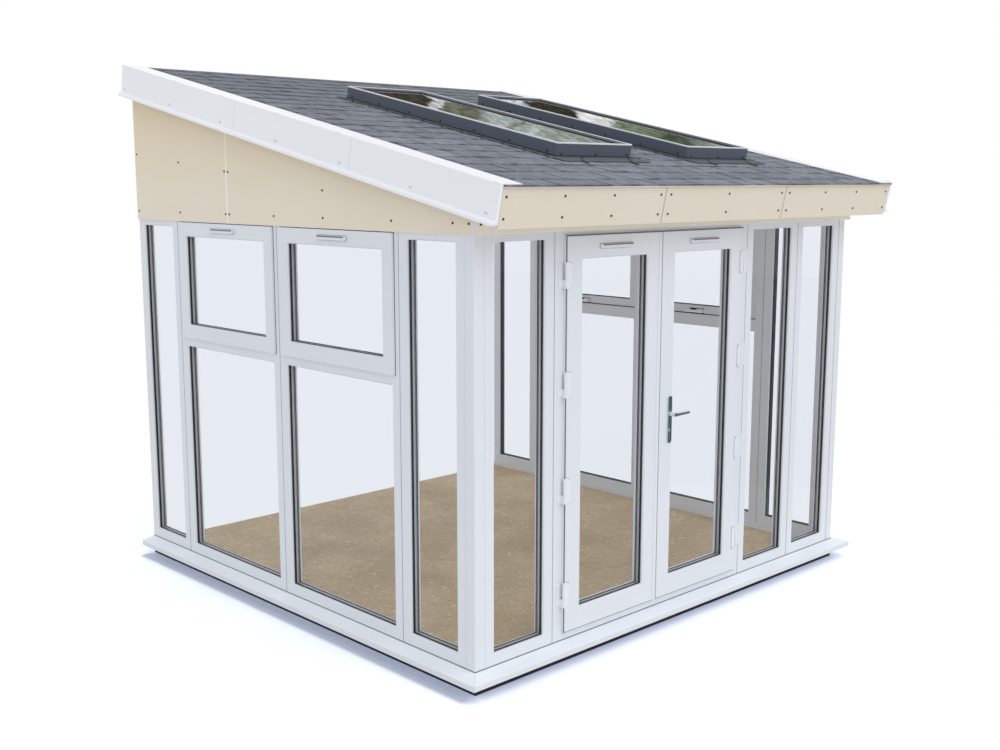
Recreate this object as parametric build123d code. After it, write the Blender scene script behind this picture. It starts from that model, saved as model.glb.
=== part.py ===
"""Lean-to garden room: white frames on three sides, open at the back where it meets a house wall.

A low-pitched tiled roof with two rooflights rises from the front eaves to the house side.
Lengths are in millimetres.  X runs along the front, Y from the front to the house side and Z up.
The origin is the middle of the base's underside, at ground level.
"""

from build123d import *
from math import cos, radians, sin, tan
import os

# ---------------------------------------------------------------- driving dimensions
WIDTH = 3205.0                 # outer faces of the side walls
DEPTH = 3175.0                 # front wall face to the house side
PITCH = 12.0                   # roof pitch in degrees
FRAME_HEIGHT = 2130.0          # window and door frames, sill to head

BASE_RAIL_HEIGHT = 60.0
DECK_THICK = 22.0
SILL_HEIGHT = 36.0
FLOOR_Z = BASE_RAIL_HEIGHT + DECK_THICK
FRAME_Z = FLOOR_Z + SILL_HEIGHT        # underside of the window and door frames
HEAD_Z = FRAME_Z + FRAME_HEIGHT        # top of the frames, where the ring beam starts

FRONT_Y = -DEPTH / 2
BACK_Y = DEPTH / 2
LEFT_X = -WIDTH / 2
RIGHT_X = WIDTH / 2

# base
BASE_RAIL_WIDTH = 60.0
JOIST_WIDTH = 50.0
JOIST_COUNT = 5
BUTT_GAP = 1.0                 # open joint between neighbouring members of one piece
PAST = 1.0                     # a cut runs this far past the face that it opens

# sills
SILL_REACH = 86.0              # nose in front of the frames
SILL_BACK = 68.0               # under the frames
SILL_FALL = 19.0               # drop of the top from the frame to the nose
SILL_NOSE = 32.0               # height of the nose
SILL_SKIN = 16.0               # thickness of the projecting ledge
SILL_DRIP = 12.0               # thickness of the nose
SILL_ROOT = 6.0                # ledge at the wall: its underside below the fall
SILL_CLEAR = 2.0               # bed of the sill in front of the deck
SILL_NOSE_R = 5.0
SILL_JOINT_X = LEFT_X + 535.0  # butt joint in the front sill
MITRE_OPEN = 0.5               # each sill stands this far back from a corner's mitre line

# frames and glazing
POST = 65.0                    # corner post, square
POST_FIT = 0.4                 # post clear of the frames beside it
POST_ROUND = 4.0               # outer corner of a post
FRAME_DEPTH = 64.0
SIGHT = 65.0                   # face width of a fixed frame bar
SPLAY = 6.0                    # chamfer round each opening
REBATE = 15.0                  # depth of the glazing groove behind the sight line
GLASS_EDGE = 12.0              # how far a pane reaches into its groove
GLASS_SET = 20.0               # frame face to glass face
GLASS_THICK = 28.0             # sealed double-glazed unit
FRAME_JOINT = 1.5              # open joint between coupled frames

FRONT_LEFT_LIGHT = 470.0
DOORWAY = 1610.0
FRONT_MID_LIGHT = 525.0        # the last light takes what is left of the front
SIDE_LIGHTS = (480.0, 1060.0, 1085.0, 485.0)   # from the front corner to the house side
SIDE_CASEMENTS = (False, True, True, False)

# top-hung casements over the two wide side lights
TRANSOM_LOW = 1333.0           # underside of the transom, above the frame's foot
TRANSOM_HIGH = 1398.0
CASEMENT_BAR = 45.0            # frame bar beside and over a casement
CASEMENT_LAP = 10.0            # sash lip over the frame face
CASEMENT_PROUD = 14.0
CASEMENT_SEAT = 1.0            # sash lip in front of the frame face
CASEMENT_FIT = 4.0
SASH_FACE = 85.0
SASH_BODY_BACK = 50.0

# French doors
DOOR_POST = 80.0
DOOR_HEAD = 62.0
THRESHOLD = 60.0
LEAF_LAP = 10.0                # leaf lip over the frame face
LEAF_GAP = 6.0                 # clear space behind the lip
LEAF_LIP = 15.0                # thickness of the lip
LEAF_FIT = 8.0                 # clear space round the leaf's body
LEAF_BACK = 50.0
LEAF_BAR = 114.0               # face width of the leaf's bars
MEETING_GAP = 6.0              # between the two lips
MEETING_SET_BACK = 8.0         # body of each leaf behind its lip at the meeting edge
STRIP_WIDTH = 27.0
STRIP_PROUD = 4.0
STRIP_EDGE = 2.0               # chamfer along the meeting strip

# hinges
HINGE_HEIGHTS = (250.0, 798.0, 1342.0, 1888.0)  # centres above the frame's foot
HINGE_LENGTH = 130.0
HINGE_SET = 10.0               # pin line outside the leaf's edge
HINGE_STAND = 25.0             # pin line in front of the frame face
HINGE_R = 9.0
HINGE_PIN_R = 4.0
HINGE_PIN_CLEAR = 0.4
HINGE_LEAF_WIDTH = 28.0        # flag on the leaf, from the leaf's edge
HINGE_FRAME_WIDTH = 33.0       # plate on the frame, from the pin line
HINGE_PLATE = 4.0
HINGE_PLATE_LENGTH = 110.0
HINGE_CLIP = 12.0              # clipped corners of the flag
KNUCKLE_LOW = 44.0             # length of the frame's knuckle, at the hinge's foot
KNUCKLE_GAP = 1.0              # between knuckles, and from each to its neighbours

# door furniture
SPINDLE_X = 84.0               # from the leaf's meeting edge
SPINDLE_Z = 1085.0
CYLINDER_Z = 993.0
LOCK_PLATE_Z = 1054.0          # middle of the lock plates
LOCK_PLATE_LENGTH = 263.0
LOCK_PLATE_WIDTH = 32.0
LOCK_PLATE_THICK = 9.0
LOCK_KEYWAY_R = 8.5
LOCK_KEYWAY_PROUD = 3.0
LEVER_REACH = 125.0
LEVER_STAND = 38.0             # length of the lever's boss
LEVER_BOSS_R = 10.0
LEVER_GAP = 2.0                # lock plate to boss
LEVER_NEAR = (18.0, 20.0)      # depth and height of the grip at the boss
LEVER_FAR = (12.0, 17.0)       # and at its tip
LEVER_CORNER = 4.5
SPINDLE_SIDE = 8.0
SPINDLE_END = 10.0             # spindle past each lock plate
LEAF_BORE_R = 8.0
PLATE_BORE_R = 7.0

# trickle vents and window handles
VENT_LENGTH = 262.0
VENT_HEIGHT = 25.0
VENT_PROUD = 13.0
VENT_DROP = 29.0               # top of a sash to its vent's top
VENT_DROP_DOOR = 43.0          # top of a door leaf to its vent's top
VENT_EDGE = 2.5                # chamfer round the vent's face
VENT_LIP = 2.0                 # over the slot
VENT_SLOT = (8.0, 9.0)         # height and depth of the slot along the top of the face
HANDLE_REACH = 112.0
HANDLE_ROSE = (64.0, 28.0, 12.0)       # length, width and thickness
HANDLE_NECK_R = 9.0
HANDLE_STAND = 36.0            # sash face to the middle of the grip
HANDLE_GRIP = (18.0, 12.0)     # width and thickness

# ring beam and cladding
WALL_THICK = 95.0
BOARD_THICK = 10.0
BOARD_LAP = 30.0               # boards hang this far over the frame heads
HEAD_BOARD_END = 48.0          # front board past the right wall
GABLE_JOINT_Y = FRONT_Y + 2088.0
BACK_BEAM_HEIGHT = 195.0

# roof, in its own plane: S runs up the slope from the eaves edge, H is square to it
OVERHANG = 266.0
EAVES_RISE = 2330.0            # tile edge at the eaves, above the frame's foot
ROOF_LENGTH = 3478.0           # up the slope
ROOF_SIDE = 65.0               # roof past each side wall
TILE_THICK = 12.0
TILE_STEP = 5.0
TILE_GAUGE = 171.0             # exposed length of a course
FIRST_GAUGE = 142.0            # and of the one at the eaves
TILE_REACH = 14.0              # first course over the fascia
TILE_INSET = 1.0               # tiles short of the panels' sides
PANEL_THICK = 160.0
LINING_THICK = 12.0
LINING_FIT = 8.0               # lining to the walls, front and back
FASCIA_THICK = 18.0
FASCIA_DEPTH = 198.0
FASCIA_JOINTS = (LEFT_X + 1058.0, LEFT_X + 2120.0)
SOFFIT_THICK = 9.0
SOFFIT_FIT = 1.0               # soffit to the head board and the fascia

# barge boards
BARGE_THICK = 18.0
BARGE_DEPTH = 186.0
BARGE_TOP = 4.0
BARGE_COVER = 135.0            # width of the strip that laps onto the tiles
BARGE_LIP = 18.0
BARGE_LIP_HEIGHT = 13.0
BARGE_LIP_FALL = 13.0          # height of the lip's sloping top
BARGE_ROUND = 14.0
BARGE_FIT = 2.0                # board to the roof's side

# rooflights
KERB_WIDTH = 605.0
KERB_LENGTH = 1850.0
KERB_WALL = 50.0
KERB_HEIGHT = 75.0
KERB_START = 675.0             # up the slope
KERB_LEFTS = (LEFT_X + 945.0, LEFT_X + 2060.0)
KERB_REBATE = 22.0
UNIT_THICK = 24.0
UNIT_SET = 10.0                # glass below the kerb's top
UNIT_FIT = 1.0                 # unit to the rebate's sides
KERB_SPLAY = 8.0               # chamfer round the kerb's inner rim
SKIRT_FRONT = 120.0
SKIRT_SIDE = 45.0
SKIRT_THICK = 3.0

EAVES_Y = FRONT_Y - OVERHANG
EAVES_Z = FRAME_Z + EAVES_RISE
SLOPE = tan(radians(PITCH))
PANEL_TOP = -TILE_THICK
PANEL_BOTTOM = PANEL_TOP - PANEL_THICK


# ---------------------------------------------------------------- shared forms
def block(x0, x1, y0, y1, z0, z1):
    """A box between two corners."""
    middle = Pos((x0 + x1) / 2, (y0 + y1) / 2, (z0 + z1) / 2)
    return middle * Box(x1 - x0, y1 - y0, z1 - z0)


def front_wall(shape):
    """Stand a piece on the front wall; locally X runs left to right and Y runs inwards."""
    return Pos(LEFT_X, FRONT_Y, FRAME_Z) * shape


def left_wall(shape):
    """The same for the left wall, seen from outside."""
    return Pos(LEFT_X, BACK_Y, FRAME_Z) * Rot(0, 0, -90) * shape


def right_wall(shape):
    """The same for the right wall, seen from outside."""
    return Pos(RIGHT_X, FRONT_Y, FRAME_Z) * Rot(0, 0, 90) * shape


def on_roof(shape):
    """Lay a piece on the roof plane; locally Y runs up the slope and Z is square to it."""
    return Pos(0, EAVES_Y, EAVES_Z) * Rot(PITCH, 0, 0) * shape


def roof_under(y):
    """Height of the roof panels' underside above a place on the ground."""
    return EAVES_Z + SLOPE * (y - EAVES_Y) + PANEL_BOTTOM / cos(radians(PITCH))


def glazing_cut(x0, x1, z0, z1, face):
    """The sight opening of one pane with the groove that holds its edges."""
    opening = block(x0, x1, face - PAST, FRAME_DEPTH + PAST, z0, z1)
    groove = block(
        x0 - REBATE, x1 + REBATE, face + GLASS_SET, face + GLASS_SET + GLASS_THICK,
        z0 - REBATE, z1 + REBATE,
    )
    return opening + groove


def pane(x0, x1, z0, z1, face):
    """The sealed unit that sits in glazing_cut."""
    return block(
        x0 - GLASS_EDGE, x1 + GLASS_EDGE, face + GLASS_SET, face + GLASS_SET + GLASS_THICK,
        z0 - GLASS_EDGE, z1 + GLASS_EDGE,
    )


def splayed(frame):
    """Chamfer the outer rim of every opening in a frame."""
    outside = frame.faces().filter_by(Axis.Y).sort_by(Axis.Y)[0]
    rims = [edge for wire in outside.inner_wires() for edge in wire.edges()]
    return chamfer(rims, SPLAY)


def fixed_frame(left, right):
    """One full-height fixed light; returns its frame and its pane."""
    x0, x1 = left + FRAME_JOINT / 2, right - FRAME_JOINT / 2
    sight = (left + SIGHT, right - SIGHT, SIGHT, FRAME_HEIGHT - SIGHT)
    bars = block(x0, x1, 0, FRAME_DEPTH, 0, FRAME_HEIGHT)
    return splayed(bars - glazing_cut(*sight, 0)), pane(*sight, 0)


def casement_frame(left, right):
    """A fixed light under a transom with a top-hung sash over it.

    Returns the frame, its lower pane, the sash and the sash's pane.
    """
    x0, x1 = left + FRAME_JOINT / 2, right - FRAME_JOINT / 2
    sight = (left + SIGHT, right - SIGHT, SIGHT, TRANSOM_LOW)
    bars = block(x0, x1, 0, FRAME_DEPTH, 0, FRAME_HEIGHT)
    bars = splayed(bars - glazing_cut(*sight, 0))

    gap_left, gap_right = left + CASEMENT_BAR, right - CASEMENT_BAR
    gap_low, gap_high = TRANSOM_HIGH, FRAME_HEIGHT - CASEMENT_BAR
    stop = REBATE
    bars -= block(gap_left, gap_right, -PAST, SASH_BODY_BACK + PAST, gap_low, gap_high)
    bars -= block(
        gap_left + stop, gap_right - stop, SASH_BODY_BACK, FRAME_DEPTH + PAST,
        gap_low + stop, gap_high - stop,
    )

    lip = block(
        gap_left - CASEMENT_LAP, gap_right + CASEMENT_LAP, -CASEMENT_PROUD, -CASEMENT_SEAT,
        gap_low - CASEMENT_LAP, gap_high + CASEMENT_LAP,
    )
    body = block(
        gap_left + CASEMENT_FIT, gap_right - CASEMENT_FIT, -CASEMENT_SEAT, SASH_BODY_BACK,
        gap_low + CASEMENT_FIT, gap_high - CASEMENT_FIT,
    )
    inset = SASH_FACE - CASEMENT_LAP
    sash_sight = (gap_left + inset, gap_right - inset, gap_low + inset, gap_high - inset)
    sash = splayed(lip + body - glazing_cut(*sash_sight, -CASEMENT_PROUD))
    return bars, pane(*sight, 0), sash, pane(*sash_sight, -CASEMENT_PROUD)


def vent_hood(middle, top, face):
    """A trickle-vent cover: a flat hood with round ends and a slot along the top of its face."""
    outline = Pos(middle, top - VENT_HEIGHT / 2) * SlotOverall(VENT_LENGTH, VENT_HEIGHT)
    hood = Pos(0, face, 0) * extrude(Plane.XZ * outline, VENT_PROUD)
    hood = chamfer(hood.faces().sort_by(Axis.Y)[0].edges(), VENT_EDGE)
    slot_height, slot_depth = VENT_SLOT
    straight = (VENT_LENGTH - VENT_HEIGHT) / 2
    front, slot_top = face - VENT_PROUD, top - VENT_LIP
    return hood - block(
        middle - straight, middle + straight, front - PAST, front + slot_depth,
        slot_top - slot_height, slot_top,
    )


def window_handle(middle, z, back):
    """A casement handle on the room side: an oval rose with a cranked lever."""
    rose_length, rose_width, rose_thick = HANDLE_ROSE
    grip_width, grip_thick = HANDLE_GRIP
    upright = Plane.XZ * Pos(middle, z)
    rose = extrude(upright * SlotOverall(rose_length, rose_width), -rose_thick)
    neck = extrude(upright * Circle(HANDLE_NECK_R), -HANDLE_STAND)
    along = Pos((HANDLE_REACH - grip_width) / 2, 0)
    grip = extrude(upright * along * SlotOverall(HANDLE_REACH, grip_width), -grip_thick)
    grip = Pos(0, HANDLE_STAND - grip_thick / 2, 0) * grip
    return Pos(0, back, 0) * (rose + neck + grip)


nodes = {}


def add(name, *solids):
    """Collect the solids of one named piece."""
    nodes.setdefault(name, []).extend(solids)


# ---------------------------------------------------------------- base and floor
# Two rails run the full width; the side rails and joists butt between them.
rail_front = FRONT_Y + BASE_RAIL_WIDTH
rail_back = BACK_Y - BASE_RAIL_WIDTH
add(
    "base_frame",
    block(LEFT_X, RIGHT_X, FRONT_Y, rail_front, 0, BASE_RAIL_HEIGHT),
    block(LEFT_X, RIGHT_X, rail_back, BACK_Y, 0, BASE_RAIL_HEIGHT),
)
span_y = (rail_front + BUTT_GAP, rail_back - BUTT_GAP)
for side in (-1, 1):
    rail = block(
        RIGHT_X - BASE_RAIL_WIDTH, RIGHT_X, *span_y, 0, BASE_RAIL_HEIGHT
    )
    add("base_frame", rail if side > 0 else mirror(rail, Plane.YZ))
joist_pitch = WIDTH / (JOIST_COUNT + 1)
for number in range(JOIST_COUNT):
    middle = (number - (JOIST_COUNT - 1) / 2) * joist_pitch
    add(
        "base_frame",
        block(middle - JOIST_WIDTH / 2, middle + JOIST_WIDTH / 2, *span_y, 0, BASE_RAIL_HEIGHT),
    )

add("floor_deck", block(LEFT_X, RIGHT_X, FRONT_Y, BACK_Y, BASE_RAIL_HEIGHT, FLOOR_Z))


# ---------------------------------------------------------------- sills
# One extruded profile, drawn across the wall: a bed under the frame, a falling ledge
# and a nose that hangs in front of the deck.  Mitred where two sills meet.
def sill(length):
    """A straight sill with square ends; X along it, Y inwards, its top at the frame's foot."""
    nose_foot = -SILL_FALL - SILL_NOSE
    nose_back = -SILL_REACH + SILL_DRIP
    outline = Polyline(
        (SILL_BACK, 0), (0, 0), (-SILL_REACH, -SILL_FALL), (-SILL_REACH, nose_foot),
        (nose_back, nose_foot), (nose_back, -SILL_FALL - SILL_SKIN),
        (-SILL_CLEAR, -SILL_FALL - SILL_ROOT), (-SILL_CLEAR, -SILL_HEIGHT),
        (SILL_BACK, -SILL_HEIGHT), close=True,
    )
    profile = extrude(Plane.YZ * make_face(outline), length)
    nose = profile.edges().filter_by(Axis.X).sort_by(Axis.Y)[0:2]
    return fillet(nose, SILL_NOSE_R)


def mitre(shape, corner, turn):
    """Keep the part of a sill that lies beyond a 45 degree cut through a corner of the walls."""
    all_round = 4 * WIDTH
    keep = Pos(0, all_round / 2, 0) * Box(all_round, all_round, all_round)
    return shape & (Pos(*corner, FRAME_Z) * Rot(0, 0, turn) * keep)


SILL_END = SILL_REACH + PAST
sill_run = front_wall(Pos(-SILL_END, 0, 0) * sill(WIDTH + 2 * SILL_END))
sill_run = mitre(sill_run, (LEFT_X + MITRE_OPEN, FRONT_Y), -135)
sill_run = mitre(sill_run, (RIGHT_X - MITRE_OPEN, FRONT_Y), 135)
joint = block(
    SILL_JOINT_X - BUTT_GAP / 2, SILL_JOINT_X + BUTT_GAP / 2,
    FRONT_Y - 2 * SILL_REACH, FRONT_Y + 2 * SILL_BACK, 0, FRAME_Z + PAST,
)
add("front_sill", *(sill_run - joint).solids())
left_run = left_wall(sill(DEPTH + SILL_END))
add("left_sill", mitre(left_run, (LEFT_X - MITRE_OPEN, FRONT_Y), 45))
right_run = right_wall(Pos(-SILL_END, 0, 0) * sill(DEPTH + SILL_END))
add("right_sill", mitre(right_run, (RIGHT_X + MITRE_OPEN, FRONT_Y), -45))

# ---------------------------------------------------------------- corner posts and frames
post = block(0, POST - POST_FIT, 0, POST - POST_FIT, 0, FRAME_HEIGHT)
outer_corner = post.edges().filter_by(Axis.Z).sort_by(Axis.Y)[0:2].sort_by(Axis.X)[0]
post = front_wall(fillet(outer_corner, POST_ROUND))
add("corner_posts", post, mirror(post, Plane.YZ))

door_left = POST + FRONT_LEFT_LIGHT
door_right = door_left + DOORWAY
front_joints = (
    (POST, door_left),
    (door_right, door_right + FRONT_MID_LIGHT),
    (door_right + FRONT_MID_LIGHT, WIDTH - POST),
)
for left, right in front_joints:
    frame, glass = fixed_frame(left, right)
    add("front_window_frames", front_wall(frame))
    add("front_window_glass", front_wall(glass))


def side_frames(side, stand, order):
    """The four coupled frames of a side wall, with sashes, vents and handles."""
    edge = 0.0 if order < 0 else POST
    widths = SIDE_LIGHTS[::order]
    opens = SIDE_CASEMENTS[::order]
    for width, casement in zip(widths, opens):
        if casement:
            frame, glass, sash, sash_glass = casement_frame(edge, edge + width)
            middle = edge + width / 2
            sash_top = FRAME_HEIGHT - CASEMENT_BAR + CASEMENT_LAP
            sash_rail = TRANSOM_HIGH + (SASH_FACE - CASEMENT_LAP) / 2
            add(f"{side}_casements", stand(sash))
            add(f"{side}_window_glass", stand(sash_glass))
            add("window_vents", stand(vent_hood(middle, sash_top - VENT_DROP, -CASEMENT_PROUD)))
            add("window_handles", stand(window_handle(middle, sash_rail, SASH_BODY_BACK)))
        else:
            frame, glass = fixed_frame(edge, edge + width)
        add(f"{side}_window_frames", stand(frame))
        add(f"{side}_window_glass", stand(glass))
        edge += width


side_frames("left", left_wall, -1)
side_frames("right", right_wall, 1)

# ---------------------------------------------------------------- French doors
way_left, way_right = door_left + DOOR_POST, door_right - DOOR_POST
way_low, way_high = THRESHOLD, FRAME_HEIGHT - DOOR_HEAD
door_frame = block(
    door_left + FRAME_JOINT / 2, door_right - FRAME_JOINT / 2, 0, FRAME_DEPTH, 0, FRAME_HEIGHT
)
door_frame -= block(way_left, way_right, -PAST, FRAME_DEPTH + PAST, way_low, way_high)
add("door_frame", front_wall(door_frame))

LEAF_FACE = -LEAF_GAP - LEAF_LIP
leaf_low, leaf_high = way_low - LEAF_LAP, way_high + LEAF_LAP
meeting = (way_left + way_right) / 2
leaf_edge = way_left - LEAF_LAP             # hinge edge of the left leaf's lip
leaf_meet = meeting - MEETING_GAP / 2       # meeting edge of the left leaf's lip
glass_low, glass_high = leaf_low + LEAF_BAR, leaf_high - LEAF_BAR
glass_left, glass_right = leaf_edge + LEAF_BAR, leaf_meet - LEAF_BAR


def left_leaf():
    """The left door leaf with its pane; the right one is its mirror image."""
    lip = block(leaf_edge, leaf_meet, LEAF_FACE, -LEAF_GAP, leaf_low, leaf_high)
    body = block(
        way_left + LEAF_FIT, leaf_meet - MEETING_SET_BACK, -LEAF_GAP, LEAF_BACK,
        way_low + LEAF_FIT, way_high - LEAF_FIT,
    )
    sight = (glass_left, glass_right, glass_low, glass_high)
    leaf = splayed(lip + body - glazing_cut(*sight, LEAF_FACE))
    return leaf, pane(*sight, LEAF_FACE)


def across(shape):
    """Mirror a piece of the left leaf to the right leaf."""
    return mirror(shape, Plane.YZ.offset(meeting))


leaf, leaf_glass = left_leaf()
add("left_door_leaf", front_wall(leaf))
add("left_door_glass", front_wall(leaf_glass))
add("right_door_glass", front_wall(across(leaf_glass)))

strip = block(
    leaf_meet - STRIP_WIDTH, leaf_meet, LEAF_FACE - STRIP_PROUD, LEAF_FACE, leaf_low, leaf_high
)
strip = chamfer(strip.faces().sort_by(Axis.Y)[0].edges().filter_by(Axis.Z), STRIP_EDGE)
add("door_meeting_strip", front_wall(strip))

spindle_x = meeting + MEETING_GAP / 2 + SPINDLE_X
on_spindle = Pos(spindle_x, 0, SPINDLE_Z) * Rot(90, 0, 0)
right_leaf = across(leaf) - on_spindle * Cylinder(LEAF_BORE_R, 3 * FRAME_DEPTH)
add("right_door_leaf", front_wall(right_leaf))

vent_middle = (leaf_edge + leaf_meet) / 2
hood = vent_hood(vent_middle, leaf_high - VENT_DROP_DOOR, LEAF_FACE)
add("left_door_vent", front_wall(hood))
add("right_door_vent", front_wall(across(hood)))

# Hinges: the frame's knuckle is at the foot and carries the pin, and the leaf's knuckle
# drops over the pin.
pin_x = leaf_edge - HINGE_SET
pin_y = -HINGE_STAND


def hinge_pair(z):
    """One hinge of the left leaf: the frame half with the pin, and the leaf half."""
    foot, top = z - HINGE_LENGTH / 2, z + HINGE_LENGTH / 2
    split = foot + KNUCKLE_LOW
    upright = Plane.XY.offset(foot) * Pos(pin_x, pin_y)
    pin = extrude(upright * Circle(HINGE_PIN_R), HINGE_LENGTH - HINGE_PLATE)
    arm = block(pin_x - HINGE_R, pin_x - KNUCKLE_GAP, pin_y, 0, foot, split)
    plate = block(
        pin_x - HINGE_FRAME_WIDTH, pin_x - KNUCKLE_GAP, -HINGE_PLATE, 0,
        z - HINGE_PLATE_LENGTH / 2, z + HINGE_PLATE_LENGTH / 2,
    )
    frame_half = extrude(upright * Circle(HINGE_R), KNUCKLE_LOW) + pin + arm + plate

    flag = block(pin_x, leaf_edge + HINGE_LEAF_WIDTH, LEAF_FACE - HINGE_PLATE, LEAF_FACE, foot, top)
    flag = chamfer(flag.edges().filter_by(Axis.Y).group_by(Axis.X)[-1], HINGE_CLIP)
    notch = block(
        pin_x - HINGE_R, pin_x + HINGE_R + KNUCKLE_GAP, LEAF_FACE - 2 * HINGE_R, LEAF_FACE + PAST,
        foot - PAST, split + KNUCKLE_GAP,
    )
    bore = extrude(upright * Circle(HINGE_PIN_R + HINGE_PIN_CLEAR), HINGE_LENGTH + PAST)
    knuckle = extrude(upright * Circle(HINGE_R), HINGE_LENGTH)
    knuckle -= block(
        pin_x - HINGE_R, pin_x + HINGE_R, pin_y - HINGE_R, pin_y + HINGE_R, foot, split + KNUCKLE_GAP
    )
    leaf_half = knuckle + (flag - notch) - bore
    return frame_half, leaf_half


for height in HINGE_HEIGHTS:
    frame_half, leaf_half = hinge_pair(height)
    add("frame_hinges", front_wall(frame_half), front_wall(across(frame_half)))
    add("left_leaf_hinges", front_wall(leaf_half))
    add("right_leaf_hinges", front_wall(across(leaf_half)))

# Lock plates on both faces, and the pair of levers on one spindle.
plate_shape = SlotOverall(LOCK_PLATE_LENGTH, LOCK_PLATE_WIDTH, rotation=90)
for face, outward in ((LEAF_FACE, -1), (LEAF_BACK, 1)):
    plate = extrude(Plane.XZ * Pos(spindle_x, LOCK_PLATE_Z) * plate_shape, -outward * LOCK_PLATE_THICK)
    keyway = Plane.XZ * Pos(spindle_x, CYLINDER_Z) * Circle(LOCK_KEYWAY_R)
    plate += extrude(keyway, -outward * (LOCK_PLATE_THICK + LOCK_KEYWAY_PROUD))
    plate = Pos(0, face, 0) * plate - on_spindle * Cylinder(PLATE_BORE_R, 4 * FRAME_DEPTH)
    add("lock_plates", front_wall(plate))


def grip_section(size, face, outward):
    """An eight-sided section of the grip whose outer face lies at a given depth."""
    depth, height = size
    return Plane.YZ * Pos(face - outward * depth / 2, SPINDLE_Z) * chamfer(
        Rectangle(depth, height).vertices(), LEVER_CORNER
    )


def lever(face, outward):
    """A lever on one face: a round boss, and a grip that tapers towards its tip."""
    start = face + outward * (LOCK_PLATE_THICK + LEVER_GAP)
    end = start + outward * LEVER_STAND
    boss = Pos(0, (start + end) / 2, 0) * on_spindle * Cylinder(LEVER_BOSS_R, LEVER_STAND)
    near = grip_section(LEVER_NEAR, end, outward)
    far = grip_section(LEVER_FAR, end, outward)
    grip = loft([Pos(spindle_x, 0, 0) * near, Pos(spindle_x + LEVER_REACH, 0, 0) * far], ruled=True)
    return boss + grip


spindle = block(
    spindle_x - SPINDLE_SIDE / 2, spindle_x + SPINDLE_SIDE / 2,
    LEAF_FACE - LOCK_PLATE_THICK - SPINDLE_END, LEAF_BACK + LOCK_PLATE_THICK + SPINDLE_END,
    SPINDLE_Z - SPINDLE_SIDE / 2, SPINDLE_Z + SPINDLE_SIDE / 2,
)
add("lever_handles", front_wall(lever(LEAF_FACE, -1) + lever(LEAF_BACK, 1) + spindle))


# ---------------------------------------------------------------- ring beam, gables and boards
def cheek(x0, x1, y0, y1, z0):
    """An upright slab whose top follows the underside of the roof panels."""
    outline = Polyline((y0, z0), (y1, z0), (y1, roof_under(y1)), (y0, roof_under(y0)), close=True)
    return Pos(x0, 0, 0) * extrude(Plane.YZ * make_face(outline), x1 - x0)


inner_front = FRONT_Y + WALL_THICK
inner_back = BACK_Y - WALL_THICK
add("front_header", cheek(LEFT_X, RIGHT_X, FRONT_Y, inner_front, HEAD_Z))
gable = cheek(LEFT_X, LEFT_X + WALL_THICK, inner_front, BACK_Y, HEAD_Z)
add("left_gable_wall", gable)
add("right_gable_wall", mirror(gable, Plane.YZ))
beam_low = roof_under(inner_back) - BACK_BEAM_HEIGHT
add("back_beam", cheek(LEFT_X + WALL_THICK, RIGHT_X - WALL_THICK, inner_back, BACK_Y, beam_low))

board_low = HEAD_Z - BOARD_LAP
for start, end in (
    (FRONT_Y, GABLE_JOINT_Y - BUTT_GAP / 2), (GABLE_JOINT_Y + BUTT_GAP / 2, BACK_Y)
):
    board = cheek(LEFT_X - BOARD_THICK, LEFT_X, start, end, board_low)
    add("left_gable_boards", board)
    add("right_gable_boards", mirror(board, Plane.YZ))
head_board_ends = (LEFT_X - BOARD_THICK, RIGHT_X + HEAD_BOARD_END)
add("front_head_board", cheek(*head_board_ends, FRONT_Y - BOARD_THICK, FRONT_Y, board_low))

# ---------------------------------------------------------------- roof
roof_left, roof_right = LEFT_X - ROOF_SIDE, RIGHT_X + ROOF_SIDE
kerb_end = KERB_START + KERB_LENGTH
wells = [
    (left + KERB_WALL, left + KERB_WIDTH - KERB_WALL, KERB_START + KERB_WALL, kerb_end - KERB_WALL)
    for left in KERB_LEFTS
]


def well_cut(h0, h1):
    """The two rooflight wells between two depths of the roof."""
    return [block(x0, x1, s0, s1, h0, h1) for x0, x1, s0, s1 in wells]


# Insulated panels: one along the eaves, one along the top and three between the wells.
low, high = wells[0][2], wells[0][3]
strips = (
    (roof_left, wells[0][0]),
    (wells[0][1], wells[1][0]),
    (wells[1][1], roof_right),
)
panel_h = (PANEL_BOTTOM, PANEL_TOP)
add("roof_panels", on_roof(block(roof_left, roof_right, FASCIA_THICK, low - BUTT_GAP, *panel_h)))
add("roof_panels", on_roof(block(roof_left, roof_right, high + BUTT_GAP, ROOF_LENGTH, *panel_h)))
for x0, x1 in strips:
    add("roof_panels", on_roof(block(x0, x1, low, high, *panel_h)))

lining_front = (WALL_THICK + OVERHANG + PANEL_BOTTOM * sin(radians(PITCH))) / cos(radians(PITCH))
lining = block(
    LEFT_X + WALL_THICK + BUTT_GAP, RIGHT_X - WALL_THICK - BUTT_GAP,
    lining_front + LINING_FIT, ROOF_LENGTH - WALL_THICK - LINING_FIT,
    PANEL_BOTTOM - LINING_THICK, PANEL_BOTTOM,
)
for cut in well_cut(PANEL_BOTTOM - 2 * LINING_THICK, PANEL_BOTTOM + PAST):
    lining -= cut
add("ceiling_lining", on_roof(lining))

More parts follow.
